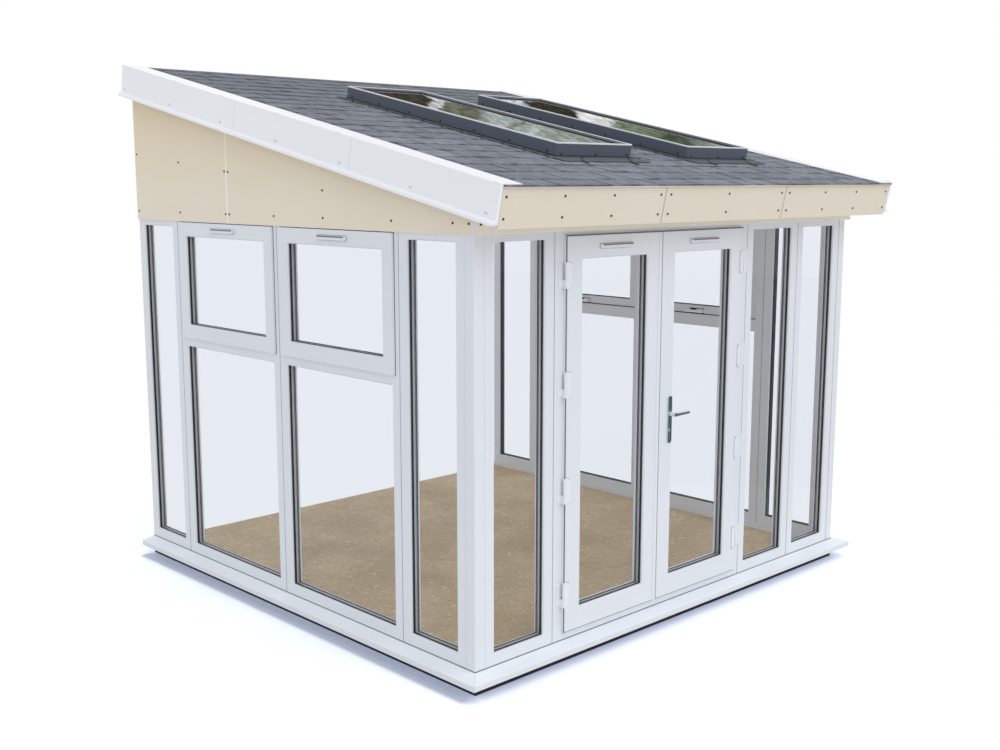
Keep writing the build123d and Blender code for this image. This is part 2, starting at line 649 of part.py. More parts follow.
# Tile courses as one stepped skin: each course is thickest at its lower edge.
starts = [-TILE_REACH]
while starts[-1] < ROOF_LENGTH:
    starts.append(starts[-1] + (FIRST_GAUGE if len(starts) == 1 else TILE_GAUGE))
starts[-1] = ROOF_LENGTH
outline = [(-TILE_REACH, PANEL_TOP)]
for start, end in zip(starts, starts[1:]):
    outline += [(start, 0), (end, -TILE_STEP)]
outline.append((ROOF_LENGTH, PANEL_TOP))
tiles = extrude(
    Plane.YZ * make_face(Polyline(*outline, close=True)), roof_right - roof_left - 2 * TILE_INSET
)
tiles = Pos(roof_left + TILE_INSET, 0, 0) * tiles
for cut in well_cut(PANEL_TOP - PAST, PAST):
    tiles -= cut
add("roof_tiles", on_roof(tiles))

# Three fascia boards along the eaves, square to the slope, and a soffit under the panels.
fascia_ends = (roof_left, *FASCIA_JOINTS, roof_right)
for x0, x1 in zip(fascia_ends, fascia_ends[1:]):
    board = block(
        x0 + BUTT_GAP / 2, x1 - BUTT_GAP / 2, 0, FASCIA_THICK, -FASCIA_DEPTH, PANEL_TOP
    )
    add("eaves_fascia", on_roof(board))
soffit_low = PANEL_BOTTOM - SOFFIT_THICK
wall_s = (OVERHANG - BOARD_THICK + soffit_low * sin(radians(PITCH))) / cos(radians(PITCH))
soffit = block(
    roof_left, roof_right, FASCIA_THICK + SOFFIT_FIT, wall_s - SOFFIT_FIT, soffit_low, PANEL_BOTTOM
)
add("eaves_soffit", on_roof(soffit))

# Barge boards: a deep board down the verge with a strip lapped onto the tiles and a lip
# along its foot.  Both ends are cut square to the slope.
barge_x = roof_left - BARGE_FIT
barge_face = barge_x - BARGE_THICK
lip_foot = Polyline(
    (barge_face, -BARGE_DEPTH), (barge_face - BARGE_LIP, -BARGE_DEPTH),
    (barge_face - BARGE_LIP, BARGE_LIP_HEIGHT - BARGE_DEPTH),
    (barge_face, BARGE_LIP_HEIGHT + BARGE_LIP_FALL - BARGE_DEPTH), close=True,
)
section = Plane.XZ * (
    Pos(barge_x - BARGE_THICK / 2, (BARGE_TOP - BARGE_DEPTH) / 2)
    * Rectangle(BARGE_THICK, BARGE_DEPTH + BARGE_TOP)
    + Pos(barge_face + BARGE_COVER / 2, BARGE_TOP / 2) * Rectangle(BARGE_COVER, BARGE_TOP)
    + make_face(lip_foot)
)
barge = extrude(section, -ROOF_LENGTH)
side_shape = Plane.YZ * Pos(ROOF_LENGTH / 2, (BARGE_TOP - BARGE_DEPTH) / 2)
side_shape *= Rectangle(ROOF_LENGTH, BARGE_DEPTH + BARGE_TOP)
front_foot = side_shape.vertices().sort_by(Axis.Z)[0:2].sort_by(Axis.Y)[0]
side_shape = fillet(front_foot, BARGE_ROUND)
barge = barge & (Pos(barge_x, 0, 0) * extrude(side_shape, 2 * BARGE_COVER, both=True))
add("left_barge_board", on_roof(barge))
add("right_barge_board", mirror(on_roof(barge), Plane.YZ))

# ---------------------------------------------------------------- rooflights
# Each rooflight is a raised kerb whose inner rim slopes down to a sealed unit, with a
# sheet skirt dressed over the tiles round its foot.
for left, (x0, x1, s0, s1) in zip(KERB_LEFTS, wells):
    right = left + KERB_WIDTH
    kerb = block(left, right, KERB_START, kerb_end, 0, KERB_HEIGHT)
    bottom = KERB_HEIGHT - UNIT_SET - UNIT_THICK
    kerb -= block(x0, x1, s0, s1, -PAST, KERB_HEIGHT + PAST)
    kerb -= block(
        x0 - KERB_REBATE, x1 + KERB_REBATE, s0 - KERB_REBATE, s1 + KERB_REBATE,
        bottom, KERB_HEIGHT + PAST,
    )
    top_face = kerb.faces().sort_by(Axis.Z)[-1]
    kerb = chamfer(top_face.inner_wires()[0].edges(), KERB_SPLAY)
    seat = KERB_REBATE - UNIT_FIT
    unit = block(x0 - seat, x1 + seat, s0 - seat, s1 + seat, bottom, KERB_HEIGHT - UNIT_SET)
    skirt = block(
        left - SKIRT_SIDE, right + SKIRT_SIDE, KERB_START - SKIRT_FRONT, kerb_end + SKIRT_SIDE,
        0, SKIRT_THICK,
    )
    skirt -= block(left, right, KERB_START, kerb_end, -PAST, SKIRT_THICK + PAST)
    add("rooflight_kerbs", on_roof(kerb))
    add("rooflight_glass", on_roof(unit))
    add("rooflight_skirts", on_roof(skirt))

# ---------------------------------------------------------------- files
os.makedirs("parts", exist_ok=True)
for name, solids in nodes.items():
    pieces = [solid for shape in solids for solid in shape.solids()]
    shape = pieces[0] if len(pieces) == 1 else Compound(children=pieces)
    export_step(shape, f"parts/{name}.step")
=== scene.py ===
"""Dresses a lean-to garden room: white window walls on three sides under a tiled roof.

The room is put together here in the order it is built on site, from the base up.  Every
length is in metres.  X runs along the front, Y from the front to the house side, Z up.
"""

from functools import partial
from math import atan2, cos, radians, sin, tan
from random import Random

import bpy
from mathutils import Euler, Matrix, Vector


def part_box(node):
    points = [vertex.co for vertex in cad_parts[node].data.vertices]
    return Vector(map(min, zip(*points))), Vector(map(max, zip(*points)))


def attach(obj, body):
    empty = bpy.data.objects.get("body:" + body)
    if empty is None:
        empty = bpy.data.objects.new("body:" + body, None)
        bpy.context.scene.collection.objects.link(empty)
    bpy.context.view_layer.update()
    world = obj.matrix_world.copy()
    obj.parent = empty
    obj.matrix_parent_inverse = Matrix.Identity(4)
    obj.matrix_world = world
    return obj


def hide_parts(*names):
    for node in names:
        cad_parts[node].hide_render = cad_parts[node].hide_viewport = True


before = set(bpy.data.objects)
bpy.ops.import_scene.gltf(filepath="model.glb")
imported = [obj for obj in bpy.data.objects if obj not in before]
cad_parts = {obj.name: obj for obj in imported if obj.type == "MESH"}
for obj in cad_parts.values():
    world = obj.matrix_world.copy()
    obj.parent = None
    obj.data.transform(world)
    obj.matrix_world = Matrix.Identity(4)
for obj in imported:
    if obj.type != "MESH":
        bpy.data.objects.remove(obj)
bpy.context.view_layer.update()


# ---- base frame and floor
# A ring of softwood rails and bearers, dipped black against the damp, carries a deck of
# flooring-grade chipboard: flakes pressed flat under a thin coat, laid loose to the walls.
def linear(colour):
    """The linear RGBA of an sRGB hex colour."""
    channels = [int(colour[at:at + 2], 16) / 255 for at in (1, 3, 5)]
    bent = [c / 12.92 if c <= 0.04045 else ((c + 0.055) / 1.055) ** 2.4 for c in channels]
    return (*bent, 1.0)


def add_node(tree, kind, *values, **settings):
    """Add a shader node; a Mix node always mixes colours.

    The values fill its open inputs in order.  A setting with a capital is the input of that
    name, and any other is the node's own.  An input takes a number, a hex colour, an output,
    or a node, whose first open output it is linked to.
    """
    node = tree.nodes.new("ShaderNode" + kind)
    if kind == "Mix":
        node.data_type = "RGBA"
    for name, value in settings.items():
        if name[0].islower():
            setattr(node, name, value)
    inputs = list(zip([socket for socket in node.inputs if socket.enabled], values))
    for name, value in settings.items():
        if name[0].isupper():
            inputs.append((node.inputs[name.replace("_", " ")], value))
    for socket, value in inputs:
        if isinstance(value, bpy.types.Node):
            value = next(output for output in value.outputs if output.enabled)
        if isinstance(value, bpy.types.NodeSocket):
            tree.links.new(value, socket)
        else:
            socket.default_value = linear(value) if isinstance(value, str) else value
    return node


def new_material(name):
    """An empty node material, and the function that adds its nodes."""
    material = bpy.data.materials.new(name)
    material.use_nodes = True
    material.node_tree.nodes.clear()
    return material, partial(add_node, material.node_tree)


def dress(material, slot, *nodes):
    """Give CAD nodes a material in place of their plain one."""
    for node in nodes:
        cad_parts[node].material_slots[0].material = material


def stain_or_shade(add, base, colour, value, *span):
    """A colour laid over a base as a value goes through a span, up to the share it ends with: a
    stain, or painted light and shade.
    """
    return add("Mix", add("MapRange", value, *span), base, colour)


def mottled(name, pale, dark, patch, roughness, relief=None, height_tint=None, detail=3.0, **inputs):
    """A dull finish that drifts between two colours over patches of a given size.

    relief is the spacing and the depth of its grain.  aged is a colour that it takes on with
    height, and the heights where that starts and ends.  The rest goes to the shader.
    """
    material, add = new_material(name)
    spot = add("TexCoord").outputs["Object"]
    drift = add("TexNoise", spot, Scale=1 / patch, Detail=detail)
    tone = add("Mix", drift, pale, dark)
    if height_tint:
        colour, start, end = height_tint
        tone = stain_or_shade(add, tone, colour, add("SeparateXYZ", spot).outputs["Z"], start, end)
    if relief:
        spacing, depth = relief
        grain = add("TexNoise", spot, Scale=1 / spacing)
        inputs["Normal"] = add("Bump", Height=grain, Distance=depth)
    add("OutputMaterial", add("BsdfPrincipled", Base_Color=tone, Roughness=roughness, **inputs))
    return material


# Bitumen-dipped softwood: matt black with a faint brown where the dip is thin.
dress(
    mottled("black_dipped_softwood", "#1d1c1b", "#0e0e0f", 0.12, 0.75, (0.004, 0.0006)),
    "black_base", "base_frame",
)

# Flooring chipboard: flakes pressed flat give a tan field of pale and dark chips, trodden
# darker in patches.  They are drawn 12 mm across, the finest that still shows.
FLAKE = 0.012
TREADS = 2.6  # trodden patches in a metre
flooring_chipboard, add = new_material("flooring_chipboard")
spot = add("TexCoord").outputs["Object"]
flakes = add("TexVoronoi", spot, Scale=1 / FLAKE)
flake_tone = add("SeparateColor", flakes.outputs["Color"])
flake_colour = add("Mix", flake_tone, "#dfc9a5", "#c6ac88")
tread = add("TexNoise", spot, Scale=TREADS, Detail=6.0, Roughness=0.65)
deck_colour = stain_or_shade(add, flake_colour, "#b1966f", tread, 0.38, 0.66, 0.0, 0.7)
# Curled pale shavings: the level lines of one pattern, kept where a second one is high.
SHAVING = 0.055
SHAVING_PATCH = 0.04
curls = add("TexNoise", spot, Scale=1 / SHAVING)
off_level = add("Math", curls, 0.5, operation="SUBTRACT")
off_level = add("Math", off_level, operation="ABSOLUTE")
curl_line = add("MapRange", off_level, 0.010, 0.045, 1.0, 0.0)
patches = add("TexNoise", spot, Scale=1 / SHAVING_PATCH, Detail=1.0)
curl_here = add("MapRange", patches, 0.57, 0.65)
curl_share = add("Math", curl_line, curl_here, operation="MULTIPLY")
curl_share = add("Math", curl_share, 0.6, operation="MULTIPLY")
deck_colour = add("Mix", curl_share, deck_colour, "#f6e7cb")
add("OutputMaterial", add("BsdfPrincipled", Base_Color=deck_colour, Roughness=0.6))
dress(flooring_chipboard, "floor_board", "floor_deck")

# ---- sills
# Hollow white uPVC sections, extruded, mitred at the front corners and screwed down to the
# deck under the frames.  Their outer skin is smooth and slightly glossy.
# White uPVC: titanium-white plastic calendered by its die; a soft sheen and a cool cast.
white_upvc = mottled(
    "white_upvc", "#eaedf2", "#e3e7ee", 0.8, 0.38, detail=2.0, Specular_IOR_Level=0.35
)

# The same plastic on the sills, with painted light: faces that look up are lighter and cooler
# than the nose.
sill_upvc, add = new_material("sill_upvc")
heading = add("SeparateXYZ", add("NewGeometry").outputs["Normal"])
painted_top_light = stain_or_shade(add, "#e6e8ee", "#f1f5fc", heading.outputs["Z"], 0.3, 0.8)
add("OutputMaterial", add(
    "BsdfPrincipled", Base_Color=painted_top_light, Roughness=0.38, Specular_IOR_Level=0.35
))
dress(sill_upvc, "white_upvc", "front_sill", "left_sill", "right_sill")

# ---- corner posts and window frames
# Square uPVC corner posts, and frames welded from the same white section, coupled side by
# side and to the posts with screws from the inside.
dress(
    white_upvc, "white_upvc",
    "corner_posts", "front_window_frames", "left_window_frames", "right_window_frames",
)

# ---- glazing
# Sealed units: two 4 mm sheets of float glass held apart by an aluminium bar between two
# lines of black butyl, and wedged into the frame between black rubber gaskets.
GLASS_COVER = 0.012  # how far a unit reaches behind the sight line
SHEET = 0.004
SHEET_EDGE = 0.0008  # ground off a sheet's edges
BUTYL = 0.003
SPACER_PROUD = 0.0015  # spacer bar past the sight line
GASKET_OUT = 0.0075  # rubber's depth in front of the outer sheet
GASKET_IN = 0.0045
GASKET_PROUD = 0.0035  # rubber past the sight line
GASKET_FIT = 0.0003
GASKET_ROUND = 0.001


def activate(piece):
    """Make one object the whole selection, in object mode."""
    if bpy.context.mode != "OBJECT":
        bpy.ops.object.mode_set(mode="OBJECT")
    bpy.ops.object.select_all(action="DESELECT")
    piece.select_set(True)
    bpy.context.view_layer.objects.active = piece


def edit(piece, action="SELECT"):
    """Go to edit mode with everything selected, or nothing."""
    activate(piece)
    bpy.ops.object.mode_set(mode="EDIT")
    bpy.ops.mesh.select_all(action=action)


def block(here, there):
    """A block between any two opposite corners, with its place in its mesh."""
    bpy.ops.object.select_all(action="DESELECT")
    middle = [(a + b) / 2 for a, b in zip(here, there)]
    size = [abs(b - a) for a, b in zip(here, there)]
    bpy.ops.mesh.primitive_cube_add(size=1, location=middle, scale=size)
    bpy.ops.object.transform_apply(location=True, rotation=True, scale=True)
    return bpy.context.object


def pick(piece, kind, wanted):
    """Go to edit mode with only the wanted faces or edges selected."""
    edit(piece, "DESELECT")
    bpy.ops.mesh.select_mode(type=kind)
    bpy.ops.object.mode_set(mode="OBJECT")
    for part in piece.data.polygons if kind == "FACE" else piece.data.edges:
        part.select = wanted(part)
    bpy.ops.object.mode_set(mode="EDIT")


def shaped(piece):
    """Leave edit mode with every face turned outwards."""
    bpy.ops.mesh.select_all(action="SELECT")
    bpy.ops.mesh.normals_make_consistent(inside=False)
    bpy.ops.object.mode_set(mode="OBJECT")
    return piece


def soften(piece, width):
    """Bevel a piece's sharp edges."""
    activate(piece)
    bevel = piece.modifiers.new("bevel", "BEVEL")
    bevel.width = width
    bevel.segments = 1
    bpy.ops.object.modifier_apply(modifier=bevel.name)
    return piece


def ring(low, high, axis, width):
    """A four-sided ring that fills a box: its two faces along an axis are inset and bridged."""
    piece = block(low, high)
    pick(piece, "FACE", lambda face: abs(face.normal[axis]) > 0.9)
    bpy.ops.mesh.inset(thickness=width)
    bpy.ops.mesh.bridge_edge_loops()
    return shaped(piece)


def join(name, pieces):
    """Join pieces into one mesh."""
    activate(pieces[0])
    for piece in pieces:
        piece.select_set(True)
    if len(pieces) > 1:
        bpy.ops.object.join()
    pieces[0].name = pieces[0].data.name = name
    return pieces[0]


def fit(name, pieces, material, body="root", turn=Matrix(), replaces=()):
    """Join new pieces, move them by a turn, and give them their material and body.

    They may stand for CAD nodes.
    """
    piece = join(name, pieces)
    piece.data.transform(turn)
    piece.data.materials.clear()
    piece.data.materials.append(material)
    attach(piece, body)
    if replaces:
        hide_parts(*replaces)


def copies(master, places):
    """Copies of a master piece, one at each place, each with its own mesh."""
    made = []
    for matrix in places:
        piece = master.copy()
        piece.data = master.data.copy()
        piece.data.transform(matrix)
        bpy.context.collection.objects.link(piece)
        made.append(piece)
    return made


def solid_boxes(node, turn=Matrix()):
    """The low and high corners of each solid of a CAD node, after a turn, in order of place."""
    edit(*copies(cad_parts[node], [turn]))
    bpy.ops.mesh.remove_doubles(threshold=1e-5)
    bpy.ops.mesh.separate(type="LOOSE")
    bpy.ops.object.mode_set(mode="OBJECT")
    boxes = []
    for part in bpy.context.selected_objects:
        along_axes = list(zip(*(vertex.co for vertex in part.data.vertices)))
        boxes.append([Vector([end(places) for places in along_axes]) for end in (min, max)])
    bpy.ops.object.delete()
    return sorted(boxes, key=lambda box: tuple(box[0]))


def slab(low, high, axis, start, end):
    """The part of a box between two places along one axis."""
    low, high = Vector(low), Vector(high)
    low[axis], high[axis] = min(start, end), max(start, end)
    return low, high


def shrunk(low, high, axis, margin):
    """A box drawn in by a margin across the other two axes."""
    inset = Vector((margin,) * 3)
    inset[axis] = 0
    return low + inset, high - inset


def clear_glass(name, cast, ior, gain):
    """Polished sheet glass: it lets a cast through, and mirrors on its outer side alone."""
    material, add = new_material(name)
    through = add("BsdfTransparent", Color=cast)
    mirror = add("BsdfGlossy", Roughness=0.0, Color=(1, 1, 1, 1))
    edge_on = add("Fresnel", IOR=ior)
    inner_side = add("NewGeometry").outputs["Backfacing"]
    outer_side = add("Math", 1.0, inner_side, operation="SUBTRACT")
    share = add("Math", edge_on, outer_side, operation="MULTIPLY")
    share = add("Math", share, gain, operation="MULTIPLY", use_clamp=True)
    add("OutputMaterial", add("MixShader", share, through, mirror))
    return material


# Float glass: clear with a faint blue cast; it mirrors a little more at low angles.
float_glass = clear_glass("float_glass", (0.985, 0.988, 0.993, 1.0), 1.45, 0.2)
# Extruded EPDM rubber: near black and quite dull.
gasket_rubber = mottled("gasket_rubber", "#34373a", "#292b2e", 0.05, 0.6)
# Butyl sealant: black and tacky, squeezed flat between glass and bar.
butyl_sealant = mottled("butyl_sealant", "#2a2c2f", "#1f2124", 0.03, 0.5)
# Mill-finish aluminium bar: roll-formed strip, dull silver with lines 4 mm apart.
mill_aluminium = mottled(
    "mill_aluminium", "#c3c7ca", "#a8adb1", 1 / 260, 0.45, detail=1.0, Metallic=0.25
)


def glaze(wall, node, body, axis, inwards, bar_finish=mill_aluminium):
    """Build the sheets, spacer bars and gaskets of every unit in one CAD glass node.

    axis is the one across the wall, and inwards is +1 or -1 along it, towards the room.
    """
    sheets, bars, seals, rubbers = [], [], [], []
    cover = GLASS_COVER + SPACER_PROUD
    for low, high in solid_boxes(node):
        outer, inner = (low[axis], high[axis]) if inwards > 0 else (high[axis], low[axis])
        depth = [
            outer, outer + inwards * SHEET, outer + inwards * (SHEET + BUTYL),
            inner - inwards * (SHEET + BUTYL), inner - inwards * SHEET, inner,
        ]
        for start, end in (depth[:2], depth[4:]):
            sheets.append(soften(block(*slab(low, high, axis, start, end)), SHEET_EDGE))
        head = high + Vector((0, 0, SPACER_PROUD))
        bars.append(ring(*slab(low, head, axis, depth[2], depth[3]), axis, cover))
        for start, end in (depth[1:3], depth[3:5]):
            seals.append(ring(*slab(low, head, axis, start, end), axis, cover))
        near, far = shrunk(low, high, axis, GLASS_COVER + GASKET_FIT)
        far += Vector((0, 0, GASKET_PROUD))
        lips = ((outer - inwards * GASKET_OUT, outer), (inner, inner + inwards * GASKET_IN))
        for start, end in lips:
            rubber = ring(*slab(near, far, axis, start, end), axis, GASKET_PROUD)
            rubbers.append(soften(rubber, GASKET_ROUND))
    fit(f"{wall}_glass_sheets", sheets, float_glass, body, replaces=[node])
    fit(f"{wall}_spacer_bars", bars, bar_finish, body)
    fit(f"{wall}_butyl_seals", seals, butyl_sealant, body)
    fit(f"{wall}_gaskets", rubbers, gasket_rubber, body)


glaze("front", "front_window_glass", "root", 1, 1)
glaze("left", "left_window_glass", "root", 0, 1)
glaze("right", "right_window_glass", "root", 0, -1, butyl_sealant)
for leaf in ("left_door", "right_door"):
    glaze(leaf, f"{leaf}_glass", leaf, 1, 1)

# ---- casements, vents and handles
# Top-hung sashes over the two wide lights of each side wall.  A black weather seal runs
# round each, a moulded vent hood sits on its top rail, and a cranked handle on its foot.
SEAL_SHOW = 0.003  # seal outside the edge of a sash
SEAL_THICK = 0.0009
SEAL_WIDE = 0.012
SIDES = (("left", -1), ("right", 1))  # and the way outwards
dress(white_upvc, "white_upvc", "left_casements", "right_casements", "window_vents")
# The black seals stand outside the sashes' edges and draw the shade line round each: partly
# painted shade.
for side, outwards in SIDES:
    frame_low, frame_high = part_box(f"{side}_window_frames")
    face = frame_low.x if outwards < 0 else frame_high.x
    rings = []
    for low, high in solid_boxes(f"{side}_casements"):
        grown = shrunk(low, high, 0, -SEAL_SHOW)
        rings.append(ring(*slab(*grown, 0, face, face + outwards * SEAL_THICK), 0, SEAL_WIDE))
    fit(f"{side}_casement_shade_seals", rings, gasket_rubber)

# Each vent hood sits on a thin grey foam gasket whose edge shows round the hood as its shade
# line:
# partly painted shade.  A mesh of the same grey closes its slot.
VENT_PAD = 0.0018  # gasket past the hood's edge
PAD_THICK = 0.0012
SLOT_TOP = 0.0035  # mesh below the hood's top
SLOT_SHOW = 0.0072
MESH_SET = 0.0035  # mesh behind the hood's face
# Closed-cell foam: grey, with a dry matt skin.
foam_shade_gasket = mottled("foam_shade_gasket", "#8d9197", "#7f838a", 0.03, 0.8)


def ends(piece, edge):
    """The two end points of an edge."""
    return [piece.data.vertices[corner].co for corner in edge.vertices]


def vent_lining(low, high, axis, outwards):
    """The gasket behind a vent hood, with rounded ends, and the mesh in its slot."""
    seat, face = (high[axis], low[axis]) if outwards < 0 else (low[axis], high[axis])
    along = 1 - axis
    reach = (high.z - low.z) / 2
    grown = shrunk(low, high, axis, -VENT_PAD)
    pad = block(*slab(*grown, axis, seat, seat + outwards * PAD_THICK))
    pick(pad, "EDGE", lambda edge: abs(
        ends(pad, edge)[0][axis] - ends(pad, edge)[1][axis]
    ) > PAD_THICK / 2)
    bpy.ops.mesh.bevel(offset=reach + VENT_PAD - 0.0002, segments=8, affect="EDGES")
    shaped(pad)
    bars = slab(low, high, axis, face - outwards * MESH_SET, seat + outwards * PAD_THICK)
    bars = slab(*bars, 2, high.z - SLOT_TOP - SLOT_SHOW, high.z - SLOT_TOP)
    mesh = block(*slab(*bars, along, low[along] + reach, high[along] - reach))
    return [pad, soften(mesh, 0.0004)]


linings = []
for low, high in solid_boxes("window_vents"):
    linings += vent_lining(low, high, 0, -1 if low.x < 0 else 1)
fit("window_vent_linings", linings, foam_shade_gasket)
for side in ("left", "right"):
    lining = vent_lining(*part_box(f"{side}_door_vent"), 1, -1)
    fit(f"{side}_door_vent_lining", lining, foam_shade_gasket, body=f"{side}_door")

# A thin line of grey silicone, tooled smooth, runs between the frames' feet and the sills.
SEALANT = 0.0042  # its height
SEALANT_OUT = 0.0012
wall_low, wall_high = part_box("front_window_frames")
side_low, side_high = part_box("left_window_frames")
right_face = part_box("right_window_frames")[1].x
foot = wall_low.z
foot_seal = foot + SEALANT
left_edge = side_low.x - SEALANT_OUT
lines = [block(
    (left_edge, wall_low.y - SEALANT_OUT, foot),
    (right_face + SEALANT_OUT, wall_low.y, foot_seal),
)]
lines += [
    block((edge, wall_low.y, foot), (edge + SEALANT_OUT, side_high.y, foot_seal))
    for edge in (left_edge, right_face)
]
frame_sealant = mottled("frame_sealant", "#54565b", "#45474c", 0.05, 0.6)
fit("frame_foot_sealant", [soften(line, 0.0003) for line in lines], frame_sealant)

# A narrow grey cover bead closes each joint between coupled frames, inside and out.
COVER_BEAD = 0.0036  # its width
COVER_PROUD = 0.0006
BEAD_SHORT = 0.002  # bead below the frames' top
POST_FACE = 0.065  # right corner post's width in the front
# Thin grey PVC, dull from its knurled rollers.
coupling_grey = mottled("coupling_bead", "#8f9297", "#83868b", 0.05, 0.6)
beads = []
bead_top = wall_high.z - BEAD_SHORT
WHOLE = [(foot_seal, bead_top)]


def cover_beads(axis, middle, faces, outer_runs=WHOLE):
    """Beads over one joint, on both faces of a wall whose length runs along an axis."""
    for face, way, runs in zip(faces, (-1, 1), (outer_runs, WHOLE)):
        for low, high in runs:
            here, there = [0, 0, low], [0, 0, high]
            here[axis], there[axis] = middle - COVER_BEAD / 2, middle + COVER_BEAD / 2
            here[1 - axis], there[1 - axis] = face, face + way * COVER_PROUD
            beads.append(soften(block(here, there), 0.0002))


# Beside the right leaf the outer bead is cut back at each hinge.
door_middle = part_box("right_door_leaf")[0].x
door_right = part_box("door_frame")[1].x
halves = [
    box for name in ("frame_hinges", "right_leaf_hinges") for box in solid_boxes(name)
    if box[0].x > door_middle
]
halves.sort(key=lambda box: box[0].z)
stops = [foot_seal]
for (low, high), (next_low, next_high) in zip(halves[::2], halves[1::2]):
    stops += [min(low.z, next_low.z), max(high.z, next_high.z)]
stops.append(bead_top)
lights = [*solid_boxes("front_window_frames"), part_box("door_frame")]
lights.sort(key=lambda box: box[0].x)
joints = [(high.x + low.x) / 2 for (_, high), (low, _) in zip(lights, lights[1:])]
for middle in (*joints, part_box("corner_posts")[1].x - POST_FACE):
    at_hinges = abs(middle - door_right) < COVER_BEAD
    runs = zip(stops[::2], stops[1::2]) if at_hinges else WHOLE
    cover_beads(0, middle, (wall_low.y, wall_high.y), runs)
for side in ("left", "right"):
    boxes = sorted(solid_boxes(f"{side}_window_frames"), key=lambda box: box[0].y)
    for (low, high), (beyond, _) in zip(boxes, boxes[1:]):
        cover_beads(1, (high.y + beyond.y) / 2, (low.x, high.x))
fit("coupling_beads", beads, coupling_grey)

# On the room side a black seal shows between each sash and its frame.  Each handle sits on a
# dark pad, cut short of its lever, that stands for the shade round its rose: painted shade.
STOP_EDGE = 0.025  # inner edge of the frame's stop, inside the sash's lip
INNER_SEAL = (0.006, 0.003)  # width and thickness
ROSE_PAD = 0.0012
ROSE_SHOW = 0.004
ROSE_CUT = (0.002, 0.012)  # short of the handle's two sides
seals, pads = [], []
for side, outwards in SIDES:
    for low, high in solid_boxes(f"{side}_casements"):
        back = low.x if outwards > 0 else high.x
        rim = slab(*shrunk(low, high, 0, STOP_EDGE), 0, back, back - outwards * INNER_SEAL[1])
        seals.append(ring(*rim, 0, INNER_SEAL[0]))
for low, high in solid_boxes("window_handles"):
    inwards = 1 if low.x < 0 else -1
    back = low.x if inwards > 0 else high.x
    pad = block(
        (back, low.y + ROSE_CUT[0], low.z - ROSE_SHOW),
        (back + inwards * ROSE_PAD, high.y - ROSE_CUT[1], high.z + ROSE_SHOW),
    )
    pads.append(soften(pad, 0.0005))
fit("casement_inner_seals", seals, gasket_rubber)
fit("handle_rose_shade_pads", pads, gasket_rubber)

# Die-cast handles, powder coated white: harder and glossier than the frames, and set whiter
# so that they read bright in the shade of the room: painted light.
dress(mottled("coated_handle", "#f8fafd", "#f2f5f9", 0.05, 0.22), "white_upvc", "window_handles")

# ---- French doors
# Two uPVC leaves that open outwards, hung on white lift-off hinges, four to a leaf.  The
# left leaf carries the meeting strip and the right one the lock with its chromed levers.
dress(
    white_upvc, "white_upvc",
    "door_frame", "left_door_leaf", "right_door_leaf", "door_meeting_strip",
    "left_door_vent", "right_door_vent",
)
# Baked enamel on forged hinges: whiter and shinier than the plastic round them.
hinge_enamel = mottled("hinge_enamel", "#eff2f6", "#e9edf2", 0.05, 0.3)
dress(hinge_enamel, "white_upvc", "frame_hinges", "left_leaf_hinges", "right_leaf_hinges")

# Round the pair of leaves a white carrier stands on the frame, and holds a black flipper
# seal against the leaves' edges.  The right leaf has a seal along its meeting edge.
CARRIER_OUT = 0.0145  # in front of the frame
CARRIER_GAP = 0.0015  # clear of the leaves
CARRIER_WIDE = 0.003
FLIPPER = 0.0035
HEAD_SEAL = (0.008, 0.003)  # depth and height of the seal over the leaves
MEETING_OUT = (0.0006, 0.0012)  # beside the right leaf and in front of it
MEETING_IN = (0.0032, 0.006)
MEETING_SHORT = 0.002
# Extruded EPDM, duller than the glazing gaskets.  Its greys also draw the thin shade lines round
# the leaves, mid grey at their sides and pale over them and at their meeting edge: partly painted
# shade.
flipper_rubber = mottled("flipper_rubber", "#6f7276", "#65686c", 0.05, 0.7)
pale_shade_line_rubber = mottled("pale_shade_line_rubber", "#bfc2c7", "#b4b7bc", 0.05, 0.7)
frame_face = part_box("door_frame")[0].y
left_low, left_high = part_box("left_door_leaf")
right_low, right_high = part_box("right_door_leaf")
carrier_edge = CARRIER_GAP + CARRIER_WIDE
leaves = shrunk(left_low, Vector((right_high.x, left_high.y, left_high.z)), 1, -carrier_edge)
stand = frame_face - CARRIER_OUT
carrier = ring(*slab(*leaves, 1, frame_face, stand), 1, CARRIER_WIDE)
fit("door_seal_carrier", [carrier], white_upvc)
flipper = ring(*slab(*leaves, 1, stand, stand - FLIPPER), 1, CARRIER_WIDE)
fit("door_flipper_seal", [flipper], flipper_rubber)
head_foot = left_high.z + carrier_edge
head_seal = block(
    (left_low.x, frame_face, head_foot),
    (right_high.x, frame_face - HEAD_SEAL[0], head_foot + HEAD_SEAL[1]),
)
fit("door_head_seal", [soften(head_seal, 0.0005)], pale_shade_line_rubber)
meeting_seal = block(
    right_low + Vector((-MEETING_OUT[0], -MEETING_OUT[1], MEETING_SHORT)),
    (right_low.x + MEETING_IN[0], right_low.y + MEETING_IN[1], right_high.z - MEETING_SHORT),
)
fit("door_meeting_seal", [soften(meeting_seal, 0.0004)], pale_shade_line_rubber, body="right_door")

# Each hinge flag is screwed on over a grey nylon pad that is a little larger, whose edge
# draws the thin shade line round the flag: partly painted shade.
FLAG = 0.028  # flag past the leaf's edge
FLAG_PAD = 0.0008
FLAG_FIT = 0.0005
PAD_SHOW = 0.0016
FLAG_CLIP = 0.012  # cut off the pad's outer corners
